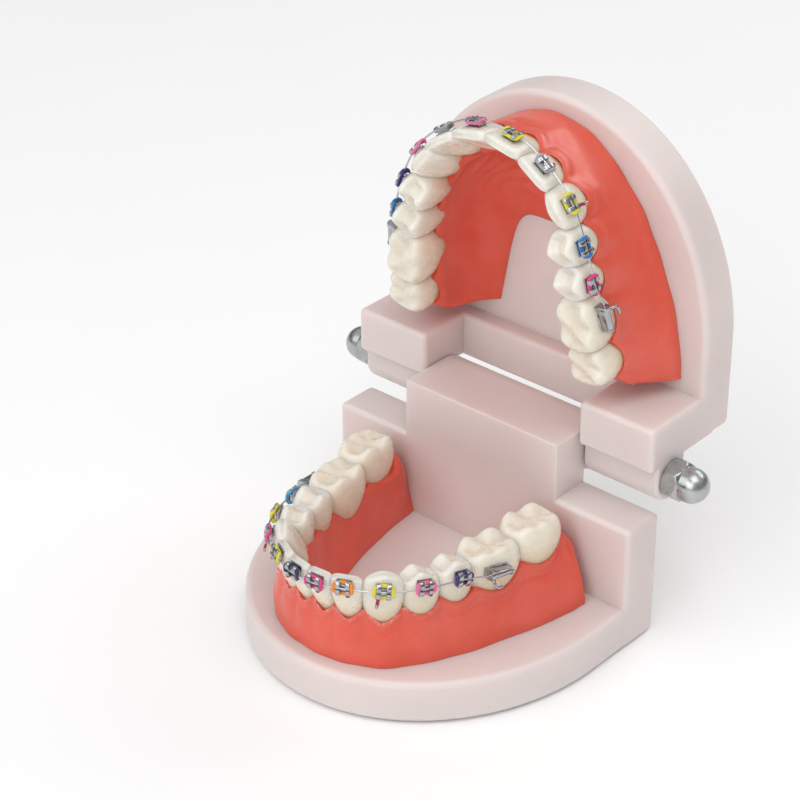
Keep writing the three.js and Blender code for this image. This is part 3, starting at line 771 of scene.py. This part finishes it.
def chewing_surface(kind, x, y):
    """Height over the crown's section, and how near each place is to a fissure between ridges, which
    masks the painted shade in the fissures.
    """
    heights = []
    for (x0, y0, z0), (x1, y1, z1), fall in BACK[kind]["ridges"]:
        dx, dy = x1 - x0, y1 - y0
        t = np.clip(((x - x0) * dx + (y - y0) * dy) / (dx * dx + dy * dy), 0, 1)
        away = np.sqrt((x - x0 - t * dx) ** 2 + (y - y0 - t * dy) ** 2 + TIP_ROUND**2)
        heights.append(z0 + (z1 - z0) * t - CUSP_FALL * fall * (away - TIP_ROUND))
    heights = np.array(heights)
    height = np.log(np.exp(GROOVE_SHARP * heights).sum(0)) / GROOVE_SHARP
    order = np.sort(heights, axis=0)
    # the second value masks the painted fissure shade: it is 1 where two ridges meet at nearly the same
    # height
    return height, bell(order[-1] - order[-2], 0, 0.022)


def section(u, square):
    cosine, sine = np.cos(u), np.sin(u)
    out = (np.abs(cosine) ** square + np.abs(sine) ** square) ** (-1 / square)
    return out * cosine, out * sine


def front_crown(kind, halves, depth, height):
    spec = FRONT[kind]
    level = np.concatenate([np.linspace(-0.3, 0.86, 30), np.linspace(0.885, 1.0, 9)])[:, None]
    side, facial, lingual, square = (
        table_curve(FRONT_LEVELS, spec[key], level) for key in ("side", "facial", "lingual", "square")
    )
    cosine, sine = section(AROUND, square)
    x = side * cosine
    y = -(facial - lingual) / 2 + (facial + lingual) / 2 * sine
    back = smooth_step(0.1, 0.8, sine)
    face = smooth_step(0.1, 0.8, -sine)
    y = y + back * bell(level, 0.62, 0.22) * (0.16 * bell(np.abs(x), 0.86, 0.2) - 0.06 * bell(x, 0, 0.45))
    y = y + face * bell(level, 0.7, 0.22) * 0.03 * (bell(x, -0.36, 0.14) + bell(x, 0.34, 0.14))
    if kind == "canine":
        y = y - face * 0.05 * bell(x, -0.05, 0.4) * bell(level, 0.55, 0.3)
    mesial, distal = spec["corner"]
    corner = np.where(x < 0, mesial, distal) * smooth_step(0.62, 1.0, np.abs(x)) + 0.012 * x * x
    drop = corner + spec["point"] * np.abs(x) ** 1.5
    z = level - drop * smooth_step(0.4, 1.0, level)
    x = x * np.where(x < 0, *halves)
    points = np.stack([x, y * depth / 2, z * height], axis=-1).reshape(-1, 3)
    return close_crown(points, len(level), np.zeros(len(points)), height, 1)


def back_crown(kind, halves, depth, height):
    spec = BACK[kind]
    cosine, sine = section(AROUND, spec["square"])
    rim = chewing_surface(kind, RIM_SCALE * cosine, RIM_SCALE * sine)[0]
    for _ in range(4):
        rim = (np.roll(rim, 1) + 2 * rim + np.roll(rim, -1)) / 4
    waist = BACK_LEVELS[-1]
    rows = []

    def dented(level, x, y):
        scale = np.ones_like(x)
        for at, side, deep in spec["dents"]:
            near = bell(x, at, 0.13) * smooth_step(0.3, 0.8, side * y)
            scale = scale - deep * near * smooth_step(0.25, 0.75, level)
        return x * scale, y * scale

    for level in np.linspace(-0.3, waist, 20):
        a = table_curve(BACK_LEVELS, BACK_SIDE, level)
        b = table_curve(BACK_LEVELS, BACK_DEEP, level)
        c, d = section(AROUND, 2.25 + (spec["square"] - 2.25) * smooth_step(-0.1, 0.4, level))
        x, y = dented(level, a * c, b * d)
        rows.append((x, y, np.full_like(x, level), np.zeros_like(x)))
    top = radians(60)
    deep = BACK_DEEP[-1]
    for k in range(1, 9):
        angle = top * k / 8
        inward = (1 - cos(angle)) / (1 - cos(top))
        a, b = 1 - (1 - RIM_SCALE) * inward, deep - (deep - RIM_SCALE) * inward
        z = waist + (rim - waist) * sin(angle) / sin(top)
        x, y = dented(0.75, a * cosine, b * sine)
        rows.append((x, y, z, np.zeros_like(x)))
    for k in range(1, 14):
        scale = RIM_SCALE * (1 - k / 13.6)
        x, y = scale * cosine, scale * sine
        z, groove = chewing_surface(kind, x, y)
        x, y = dented(0.75, x, y)
        rows.append((x, y, z, groove))
    x, y, z, groove = (np.concatenate([row[k] for row in rows]) for k in range(4))
    x = x * np.where(x < 0, *halves)
    points = np.stack([x, y * depth / 2, z * height], axis=-1).reshape(-1, 3)
    return close_crown(points, len(rows), groove.reshape(-1), height, 4)


def close_crown(points, rows, groove, height, passes):
    sides = CROWN_SIDES
    points = np.vstack([points, points[:sides].mean(0), points[-sides:].mean(0)])
    groove = np.append(groove, [0, groove[-1]])
    # a little smoothing takes the last kinks out
    grid = points[:-2].reshape(rows, sides, 3)
    for _ in range(passes):
        grid[1:-1] += 0.4 * ((grid[:-2] + grid[2:]) / 2 - grid[1:-1])
        grid += 0.3 * ((np.roll(grid, 1, axis=1) + np.roll(grid, -1, axis=1)) / 2 - grid)
    points[:-2] = grid.reshape(-1, 3)
    rise = np.clip(points[:, 2] / height, 0, 1)
    # rise tints the crown from neck to tip; the other attribute masks the painted shade in the fissures
    return Surface().add(points, grid_faces(rows, sides) + fans(rows, sides), 0, rise=rise,
                         groove=groove)


def crown(arch, index):
    row = arch.teeth[index]
    make = front_crown if row.kind in FRONT else back_crown
    return make(row.kind, half_widths(arch, index), row.depth, row.height)


# ---------- places along the arches ----------
def contact(arch, index):
    """Where a tooth meets the next one: the place, and how far that is from each of them."""
    a, b = arch.teeth[index:index + 2]
    run = dist((a.x, a.y), (b.x, b.y))
    share = a.width / (a.width + b.width)
    return (a.x + (b.x - a.x) * share, a.y + (b.y - a.y) * share), run * share, run * (1 - share)


def half_widths(arch, index):
    row = arch.teeth[index]
    mesial = contact(arch, index - 1)[2] if index else row.x
    distal = contact(arch, index)[1] if index < len(arch.teeth) - 1 else row.width / 2
    reach = OVERLAP * row.width
    return mesial + reach, distal + reach


def facing(arch, index, side):
    rows = arch.teeth
    x, y = rows[index].x, rows[index].y
    x0, y0 = (rows[index - 1].x, rows[index - 1].y) if index else (-x, y)
    x1, y1 = (rows[index + 1].x, rows[index + 1].y) if index < len(rows) - 1 else (x + 0.4, y + 5)
    return atan2(y1 - y0, x1 - x0) * side


def place_of(arch, index, side):
    row = arch.teeth[index]
    return (
        Matrix.Translation((side * row.x, row.y, row.neck))
        @ Matrix.Rotation(facing(arch, index, side), 4, "Z")
        @ Matrix.Rotation(radians(row.tilt), 4, "X")
    )


def face_at(row, height, side="facial"):
    """How far a crown stands out at a height above the plate, and how it leans there."""
    level = np.linspace(-0.3, 0.98, 260)
    if row.kind in FRONT:
        out = table_curve(FRONT_LEVELS, FRONT[row.kind][side], level) * row.depth / 2
    else:
        out = table_curve(BACK_LEVELS, BACK_DEEP, np.minimum(level, 0.55)) * row.depth / 2
    lean = radians(row.tilt if side == "facial" else -row.tilt)
    up = level * row.height
    far = out * cos(lean) + up * sin(lean)
    z = -out * sin(lean) + up * cos(lean)
    reach = 0.8
    low, at, high = (float(np.interp(height - row.neck + d, z, far)) for d in (-reach, 0, reach))
    return at, atan2(high - low, 2 * reach)


def slot_place(arch, index, side):
    slots, teeth = arch.slots, arch.teeth
    row = teeth[index]
    out, lean = face_at(row, slots[index])
    tube = index == BRACKETED
    before, after = max(index - 1, 0), min(index + 1, BRACKETED)
    run = hypot(teeth[after].x - teeth[before].x, teeth[after].y - teeth[before].y)
    rise = atan2(slots[after] - slots[before], run) if index else 0
    return (
        Matrix.Translation((side * row.x, row.y, slots[index]))
        @ Matrix.Rotation(facing(arch, index, side), 4, "Z")
        @ Matrix.Translation((side * (TUBE_SHIFT if tube else 0), -(out + SLOT_OFFSET), 0))
        @ Matrix.Rotation(-side * rise, 4, "Y")
        @ Matrix.Rotation(0 if tube else lean, 4, "X")
    )


# ---------- appliances ----------
# A bracket's frame: +X distal along the wire, -Y away from the tooth, slot centre at the origin.
SLOT_HALF = 0.3
PAD_BACK = 1.42
WING_CENTRE = 0.98
WING_WIDTH = 0.94


def pad():
    """The curved bonding pad, with the teeth of its mesh along the rim."""
    width, height, thick, count = 3.15, 2.7, 0.58, 8
    back = PAD_BACK + 0.2
    bm = rounded_box((-width / 2, back - thick, -height / 2), (width / 2, back, height / 2), 0.16, 2)
    for v in bm.verts:
        v.co.y += 0.05 * v.co.x ** 2 + 0.06 * max(0.0, v.co.z) ** 2
    parts = [surface_of(bm)]
    for k in range(count):
        x = width * ((k + 0.5) / count - 0.5) * 0.94
        y = back - 0.3 + 0.035 * x ** 2
        for z in (height / 2, -height / 2):
            parts.append(surface_of(rounded_box(
                (x - 0.09, y - 0.1, z - 0.11), (x + 0.09, y + 0.1, z + 0.11), 0.05, 1)))
    return merged(*parts)


def half_bracket(centre):
    """One of the twin halves: a stem with a slot, and a tie wing above and below."""
    upper = [(PAD_BACK - 0.2, 0.78), (0.62, 0.72), (0.62, 1.28), (0.4, 1.62), (-0.02, 1.6),
             (-0.4, 1.3), (-0.62, 0.86), (-0.62, SLOT_HALF), (0.42, SLOT_HALF)]
    lower = [(y, -z) for y, z in reversed(upper)]
    return surface_of(rounded_slab(
        upper + lower, centre - WING_WIDTH / 2, centre + WING_WIDTH / 2, 0.13, 3, 14))


def marker(centre):
    """The dab of red paint on one gum-side wing."""
    bm = bmesh.new()
    bmesh.ops.create_icosphere(bm, subdivisions=3, radius=1)
    place = Matrix.Translation((centre, -0.02, -1.42)) @ Matrix.Diagonal((0.45, 0.52, 0.36, 1))
    bmesh.ops.transform(bm, matrix=place, verts=bm.verts)
    return surface_of(bm, 1)


def hook(centre):
    """The ball hook that stands towards the gum from one wing of a canine bracket."""
    lean = copysign(0.22, centre)
    path = through([(centre, 0.2, -1.2), (centre + 0.2 * lean, 0.0, -1.85),
                    (centre + 0.7 * lean, -0.12, -2.6)], 8)
    red = sweep(path, np.full(len(path), 0.34), 14, finish=1)
    tip = through([(centre + 0.68 * lean, -0.12, -2.55), (centre + 0.9 * lean, -0.14, -2.95),
                   (centre + 1.2 * lean, -0.16, -3.4)], 6)
    swell = 0.3 + 0.1 * np.sin(np.linspace(0, pi, len(tip)))
    swell[-1] = 0.14
    return merged(red, sweep(tip, swell, 14))


def bracket(with_hook, marked):
    """Pad, twin halves, the body between them, and on one side a hook or a dab of paint."""
    body = surface_of(rounded_box((-1.0, 0.46, -0.72), (1.0, PAD_BACK - 0.2, 0.72), 0.1, 2))
    extra = hook if with_hook else marker
    return merged(pad(), half_bracket(-WING_CENTRE), half_bracket(WING_CENTRE), body,
                  extra(marked * WING_CENTRE))


def tie():
    """An elastomeric ring: under the four wings and over the wire on both sides."""
    count = 56
    cosine, sine = section(2 * pi * np.arange(count) / count, 3.2)
    over = smooth_step(0.75, 1.0, np.abs(cosine))
    path = np.stack([1.78 * cosine, 0.52 - 0.62 * over, 1.2 * sine], axis=1)
    return sweep(path, 0.4, 14, closed=True, up=(0, 1, 0))


def molar_tube(row):
    """A buccal tube: pad, round-backed tube with a thicker mouth, and a curved hook."""
    half, rounding, deep = 2.45, BACK[row.kind]["square"], PAD_BACK + 0.5
    bm = rounded_box((-half - 0.1, PAD_BACK - 0.38, -1.1), (half + 0.2, PAD_BACK + 0.15, 1.1),
                     0.16, 2)
    bmesh.ops.subdivide_edges(bm, edges=[e for e in bm.edges if e.calc_length() > 2], cuts=8,
                              use_grid_fill=True)
    for v in bm.verts:
        # the pad follows the rounded section of the crown
        share = min(0.97, abs(v.co.x + TUBE_SHIFT) / (row.width / 2))
        v.co.y += 0.9 * (row.depth / 2 * (1 - (1 - share**rounding) ** (1 / rounding)))
    parts = [surface_of(bm)]
    turn = np.linspace(0.12, pi - 0.12, 15)
    ring = [(-0.74 * sin(a), 0.72 * cos(a)) for a in turn] + [(deep, -0.85), (deep, 0.85)]
    mouth = [(-0.12 - 0.78 * sin(a), 0.86 * cos(a)) for a in turn]
    mouth += [(deep, -0.96), (deep, 0.96)]
    rear = [(y * 0.93, z * 0.93) for y, z in mouth]
    for profile, start, end, radius in ((ring, -half + 0.2, half, 0.12),
                                        (mouth, -half, -half + 0.85, 0.12),
                                        (rear, half - 0.3, half + 0.12, 0.1)):
        parts.append(surface_of(rounded_slab(profile, start, end, radius, 2, 40)))
    curl = through([(-half + 1.1, 0.1, -0.7), (-half + 1.0, -0.35, -1.35),
                    (-half + 1.15, -0.62, -2.0), (-half + 1.8, -0.72, -2.45),
                    (-half + 2.9, -0.6, -2.55)], 8)
    swell = np.full(len(curl), 0.29)
    swell[-3:] = (0.33, 0.31, 0.18)
    return merged(*parts, sweep(curl, swell, 14))


def archwire(jaw):
    arch = ARCHES[jaw]
    half = [tuple(slot_place(arch, index, 1).translation) for index in range(BRACKETED)]
    tube = slot_place(arch, BRACKETED, 1)
    reach = TUBE_LENGTH / 2
    half += [tuple(tube @ Vector((along, 0, 0))) for along in (-reach, 0, reach)]
    tip = tube @ Vector((reach + WIRE_END, -0.12, -0.2))
    path = np.vstack([(-tip.x, tip.y, tip.z), through(mirrored(half), 18), tip])
    sweep(path, WIRE_RADIUS).moved(JAWS[jaw]).piece(
        f"{jaw}_arch_wire", f"{jaw}_jaw", [f"{jaw}_archwire"], "archwire_steel", [WIRE])


# ---------- gums ----------
STATIONS_PER_TOOTH = 26  # sections of the gum from one contact to the next
WALL, TOP = 40, 10  # points up or down a wall, and over the top
SUNK = -0.15  # height of the gum's foot, a little inside the plate


def arch_table(sigma, centres, contacts, power):
    """A value that follows the middles of the teeth and the contacts between them."""
    at = np.clip(np.abs(sigma), 0, len(centres) - 1e-6)
    tooth = np.floor(at).astype(int)
    offset = 2 * (at - tooth) - 1
    near = np.where(offset < 0, np.take(contacts, tooth), np.take(contacts, tooth + 1))
    power = np.take(power, tooth) if isinstance(power, list) else power
    return np.take(centres, tooth) + (near - np.take(centres, tooth)) * np.abs(offset) ** power


def softened(values, passes):
    for _ in range(passes):
        padded = np.concatenate([values[:1], values, values[-1:]])
        values = (padded[:-2] + 2 * padded[1:-1] + padded[2:]) / 4
    return values


def centre_line(arch):
    """Stations along the teeth and past the last one: each one's distance from the midline, counted
    in teeth, its place, and the way out from there."""
    teeth, count = arch.teeth, len(arch.teeth)
    route = [(0, teeth[0].y - 0.15)]
    for i, row in enumerate(teeth):
        back = contact(arch, i)[0] if i < count - 1 else (row.x + 0.2, row.y + row.width / 2)
        route += [(row.x, row.y), back]
    route.append([(foot + heel) / 2 for foot, heel in zip(arch.outer_foot[-1], arch.inner_foot[-1])])
    xs, ys = zip(*route)
    knots = [*np.arange(0, count + 0.5, 0.5), count + 1]
    sigma = np.linspace(-count - 1, count + 1, 2 * (count + 1) * STATIONS_PER_TOOTH + 1)[:, None]
    size = np.abs(sigma)
    centre = softened(np.hstack([np.sign(sigma) * np.interp(size, knots, xs),
                                 np.interp(size, knots, ys)]), 90)
    along = np.gradient(centre, axis=0)
    along /= np.linalg.norm(along, axis=1)[:, None]
    return sigma, centre, along[:, ::-1] * (1, -1)


def feet(arch, centre, outward):
    """For each station, the way and the distance to the facial and to the lingual foot."""
    outer, inner = (even(through(mirrored(foot), 40), 1600)
                    for foot in (arch.outer_foot, arch.inner_foot))
    gap = outer[None] - centre[:, None]
    across = np.abs(gap[:, :, 0] * outward[:, None, 1] - gap[:, :, 1] * outward[:, None, 0])
    ahead = (gap * outward[:, None]).sum(2) > 0
    pick = np.maximum.accumulate(np.argmin(np.where(ahead, across, 1e3), axis=1))
    travel = np.concatenate([[0], np.cumsum(np.linalg.norm(np.diff(centre, axis=0), axis=1))])
    share = travel / travel[-1] * (len(inner) - 1)
    heel = np.stack([np.interp(share, np.arange(len(inner)), inner[:, k]) for k in (0, 1)], axis=1)
    for target in (softened(outer[pick], 12), heel):
        way = target - centre
        far = np.linalg.norm(way, axis=1)[:, None]
        yield way / far, far


def gum(jaw):
    """Three bands over the stations: facial wall, top and lingual wall. Values for each station
    are columns, and q or w runs along the rows."""
    arch = ARCHES[jaw]
    teeth, count, roll, swell = arch.teeth, len(arch.teeth), arch.roll, arch.swell
    sigma, centre, outward = centre_line(arch)
    (foot_way, foot_far), (heel_way, heel_far) = feet(arch, centre, outward)
    size = np.abs(sigma)
    behind = np.clip(size - count, 0, 1)
    past = smooth_step(0, 0.4, behind)
    near = 1 - past
    fall = np.sqrt(np.maximum(0, 1 - behind**arch.end))
    end_half = (arch.outer_foot[-1][0] - arch.inner_foot[-1][0]) * 0.33

    def margin(heights, papillae, power, passes):
        table = arch_table(sigma, heights, papillae, power)
        line = softened(table * near + (arch.pad - 0.6) * past, passes) * fall
        return line, softened(line, 260)

    def lips(side, heights, between, proud=0.12):
        centres = [max(face_at(row, z, side)[0], face_at(row, z + 1.2, side)[0]) + proud
                   for row, z in zip(teeth, heights)]
        pairs = [centres[0]] + [(a + b) / 2 for a, b in zip(centres, centres[1:])] + [centres[-1]]
        reach = arch_table(sigma, centres, [value * between for value in pairs], 2.4)
        return reach * near + end_half * past

    zf, soft_zf = margin(arch.facial_margin, arch.facial_papilla, arch.sharpness, 6)
    zl, soft_zl = margin(arch.lingual_margin, arch.lingual_papilla, 2.5, 3)
    facial = softened(lips("facial", arch.facial_margin, 0.78), 3)
    lingual = softened(lips("lingual", arch.lingual_margin, 0.68, 0.25), 3)
    soft_facial = softened(facial, 200)
    soft_lingual = softened(lips("lingual", arch.lingual_margin, 1.0, 0.6), 160)
    crest = np.maximum(arch_table(sigma, [0.0] * count, [1.0] * (count + 1), 2.2), past)
    root = softened(arch_table(sigma, arch.eminence, [0.0] * (count + 1), 1.3) * near, 6)
    crust = smooth_step(4.4, 3.0, size) if jaw == "lower" else 0.2 * near

    def band(spots, z, edge):
        return np.concatenate([spots, np.stack([z, edge + 0 * z], axis=-1)], axis=-1)

    def wall(way, far, z, edge):
        return band(centre[:, None] + way[:, None] * far[..., None], z, edge)

    # facial wall, from the foot up to the margin
    q = 1 - (np.arange(WALL) / (WALL - 1))[None] ** 0.8
    z = soft_zf * (1 - q) + (zf - soft_zf) * (1 - q) ** arch.fade
    below, level = zf - z, 0.4 * zf + 0.6 * soft_zf - z
    lip = soft_facial + (facial - soft_facial) * (1 - q) ** arch.fade
    far = lip + (foot_far - lip) * (0.35 * q + 0.65 * smooth_step(0, 1, q))
    far += swell * near * (bell(below, 0.6 * roll, 0.6 * roll)
                           - 0.4 * bell(level, 1.7 * roll, 0.5 * roll))
    far += root * (bell(below, 4.2, 2.6) + 0.16 * q) + 0.07 * np.sin(3.1 * sigma + 0.9 * z) * q
    far += 0.09 * np.sin(5.3 * sigma + 1.0) * smooth_step(0.7, 1, q)
    far -= 0.18 * bell(z, 0, 0.35) + 1.2 * past * bell(below, 0, 1.7)
    bands = [wall(foot_way, far, z, bell(below, 0, 0.5) * crust)]
    # over the top
    w = (np.arange(1, TOP + 1) / (TOP + 1))[None]
    dome, inset = np.sin(pi * w), (1 - 1.2 * past / facial)[..., None]
    reach = (foot_way[:, None] * (facial * (1 - w))[..., None]
             + heel_way[:, None] * (lingual * w)[..., None])
    z = zf * (1 - w) + zl * w
    z += dome * (0.3 * crest * near + 0.9 * past * fall - 1.1 * (1 - crest))
    bands.append(band(centre[:, None] + reach * inset, z, crust))
    # lingual wall, from the margin down to the heel
    q = (np.arange(WALL) / (WALL - 1))[None] ** 1.25
    z = soft_zl * (1 - q) + (zl - soft_zl) * (1 - q) ** 4
    below = zl - z
    bend = np.maximum(0, q - arch.vault * np.sin(pi * q) * (1 - 0.3 * q))
    lip = soft_lingual + (lingual - soft_lingual) * (1 - q) ** 9
    far = lip + (heel_far - lip) * (0.5 * bend + 0.5 * bend**1.6)
    far += near * (0.2 * bell(below, 0.7, 0.6) + 0.25 * smooth_step(0, 1.4, below) * (1 - q))
    far -= 1.2 * past * bell(below, 0, 1.7)
    if jaw == "lower":
        far += 0.05 * np.sin(4.0 * sigma + 0.7 * z) * np.minimum(1, 4 * q)
    else:
        far += rugae(sigma, q)
    bands.append(wall(heel_way, far, z, 0))

    sections = np.concatenate(bands, axis=1)
    sections[:, (0, -1), 2] = SUNK
    sections[:, :, 2] = np.maximum(sections[:, :, 2], SUNK)
    rows, columns = sections.shape[:2]
    faces = [tuple(reversed(f)) for f in grid_faces(rows, columns)]
    faces += [tuple(range(columns)), tuple(reversed(range((rows - 1) * columns, rows * columns)))]
    points, edge = sections[:, :, :3].reshape(-1, 3), sections[:, :, 3].reshape(-1)
    Surface().add(points, faces, 0, edge=edge).moved(JAWS[jaw]).piece(
        f"{jaw}_gum_rubber", f"{jaw}_jaw", [f"{jaw}_gum"], "gum_rubber", [RUBBER], 60)


def rugae(sigma, q):
    """The wavy folds behind the upper incisors, and the papilla on the midline above them."""
    size = np.abs(sigma)
    height = 0.7 * bell(sigma, 0, 0.22) * bell(q, 0.24, 0.12)
    for at, tall in ((0.3, 0.7), (0.42, 0.9), (0.54, 0.9), (0.66, 0.8), (0.78, 0.6)):
        line = at + 0.035 * np.sin(2.4 * size + 9 * at) + 0.02 * size
        height += tall * bell(q, line, 0.036) * smooth_step(0.08, 0.4, size) * smooth_step(
            3.4, 1.8, size)
    return height


# ---------- assembly ----------
CAMERA_TARGET = (-9.98, 9.3, 40.68)  # millimetres
CAMERA_AZIMUTH, CAMERA_ELEVATION = 41.16, 30.7  # degrees from -Y towards +X, and upwards
CAMERA_DISTANCE = 0.45646  # metres, like the floor and the lights
CAMERA_LENS, CAMERA_SENSOR = 112.28, 36
FLOOR_DROP = 0.0003  # the floor lies this far below the object
SKY = ((0.0, 0.7), (0.12, 0.18), (0.35, 0.34), (0.6, 0.85), (1.0, 0.95))  # height of the view, grey
SKY_STRENGTH = 0.67
LIGHT_TARGET = (0, 0, 0.04)
LIGHTS = (  # name, place, size and power
    ("key", (-0.45, -0.8, 0.75), (0.9, 0.9), 3.3),
    ("top", (0.4, -0.1, 1.1), (0.8, 0.8), 3.5),
    ("fill", (0.3, -0.8, 0.5), (0.7, 0.7), 2.8),
    ("back", (0.1, 0.9, 0.7), (0.8, 0.4), 2.2),
)


def looking(name, data, spot, way):
    """An object at a spot, turned to look along a way."""
    made = bpy.data.objects.new(name, data)
    bpy.context.scene.collection.objects.link(made)
    made.location = spot
    made.rotation_euler = way.to_track_quat("-Z", "Y").to_euler()
    return made


def stage_and_camera():
    scene = bpy.context.scene
    scene.view_settings.view_transform = "Standard"
    azimuth, elevation = radians(CAMERA_AZIMUTH), radians(CAMERA_ELEVATION)
    level = cos(elevation)
    away = Vector((sin(azimuth) * level, -cos(azimuth) * level, sin(elevation)))
    camera = bpy.data.cameras.new("camera")
    camera.lens, camera.sensor_width, camera.clip_start = CAMERA_LENS, CAMERA_SENSOR, 0.01
    spot = Vector(CAMERA_TARGET) * MM + away * CAMERA_DISTANCE
    scene.camera = looking("camera", camera, spot, -away)

    floor = bmesh.new()
    bmesh.ops.create_grid(floor, x_segments=8, y_segments=8, size=3)
    ground = object_of(floor, "floor")
    ground.location.z = -FLOOR_DROP
    f = Finish("floor", Base_Color=(0.97, 0.97, 0.97, 1))
    f.coat(None, f.spread(f.noise(30), 0.55, 0.7, 0, 1))
    ground.data.materials.append(f.material)

    scene.world = bpy.data.worlds.new("studio")
    scene.world.use_nodes = True
    tree = scene.world.node_tree
    background = tree.nodes["Background"]
    place, parts, ramp = (
        tree.nodes.new(f"ShaderNode{kind}") for kind in ("TexCoord", "SeparateXYZ", "ValToRGB")
    )
    tree.links.new(place.outputs["Generated"], parts.inputs["Vector"])
    tree.links.new(parts.outputs["Z"], ramp.inputs["Fac"])
    tree.links.new(ramp.outputs["Color"], background.inputs["Color"])
    set_stops(ramp, [(at, (grey, grey, grey)) for at, grey in SKY])
    background.inputs["Strength"].default_value = SKY_STRENGTH

    for name, spot, size, power in LIGHTS:
        light = bpy.data.lights.new(name, "AREA")
        light.shape, light.size, light.size_y, light.energy = "RECTANGLE", *size, power
        looking(name, light, spot, Vector(LIGHT_TARGET) - Vector(spot))


def appliances(arch, jaw, half, index, side, mirror):
    """A bracket with its tie, or a buccal tube, on one tooth."""
    row = arch.teeth[index]
    name, body = f"{jaw}_{half}_{row.name}", f"{jaw}_jaw"
    place = JAWS[jaw] @ slot_place(arch, index, side) @ mirror
    if index == BRACKETED:
        molar_tube(row).moved(place, side < 0).piece(
            f"{name}_tube", body, [name], "bracket_steel", [STEEL], 35)
        return
    node = f"{name}_bracket"
    place = place @ Matrix.Diagonal(BRACKET_SCALE)
    hooked = row.name == "canine"
    marked = -1 if hooked and jaw == "lower" else 1
    bracket(hooked, marked).moved(place, side < 0).piece(
        f"{name}_twin_bracket", body, [node], "bracket_steel", [STEEL, PAINT], 35)
    colour = TIE_COLOURS[f"{jaw}_{half}"][index]
    tie().moved(place, side < 0).piece(f"{name}_tie", body, [node], "elastomer", [TIES[colour]])


def build():
    lower_base()
    upper_base()
    for jaw, arch in ARCHES.items():
        gum(jaw)
        archwire(jaw)
        for half, sign in (("left", 1), ("right", -1)):
            side = -sign if jaw == "upper" else sign
            mirror = Matrix.Diagonal((side, 1, 1, 1))
            for index, row in enumerate(arch.teeth):
                name = f"{jaw}_{half}_{row.name}"
                slot = "enamel_back" if "_molar" in row.name else "enamel_front"
                place = JAWS[jaw] @ place_of(arch, index, side) @ mirror
                crown(arch, index).moved(place, side < 0).piece(
                    f"{name}_crown", f"{jaw}_jaw", [name], slot, [ENAMEL[slot]])
                if index <= BRACKETED:
                    appliances(arch, jaw, half, index, side, mirror)
    for sign in (1, -1):
        acorn_nut(sign)
    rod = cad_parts["hinge_rod"]
    rod.data.materials.clear()
    rod.data.materials.append(ZINC)


stage_and_camera()
build()
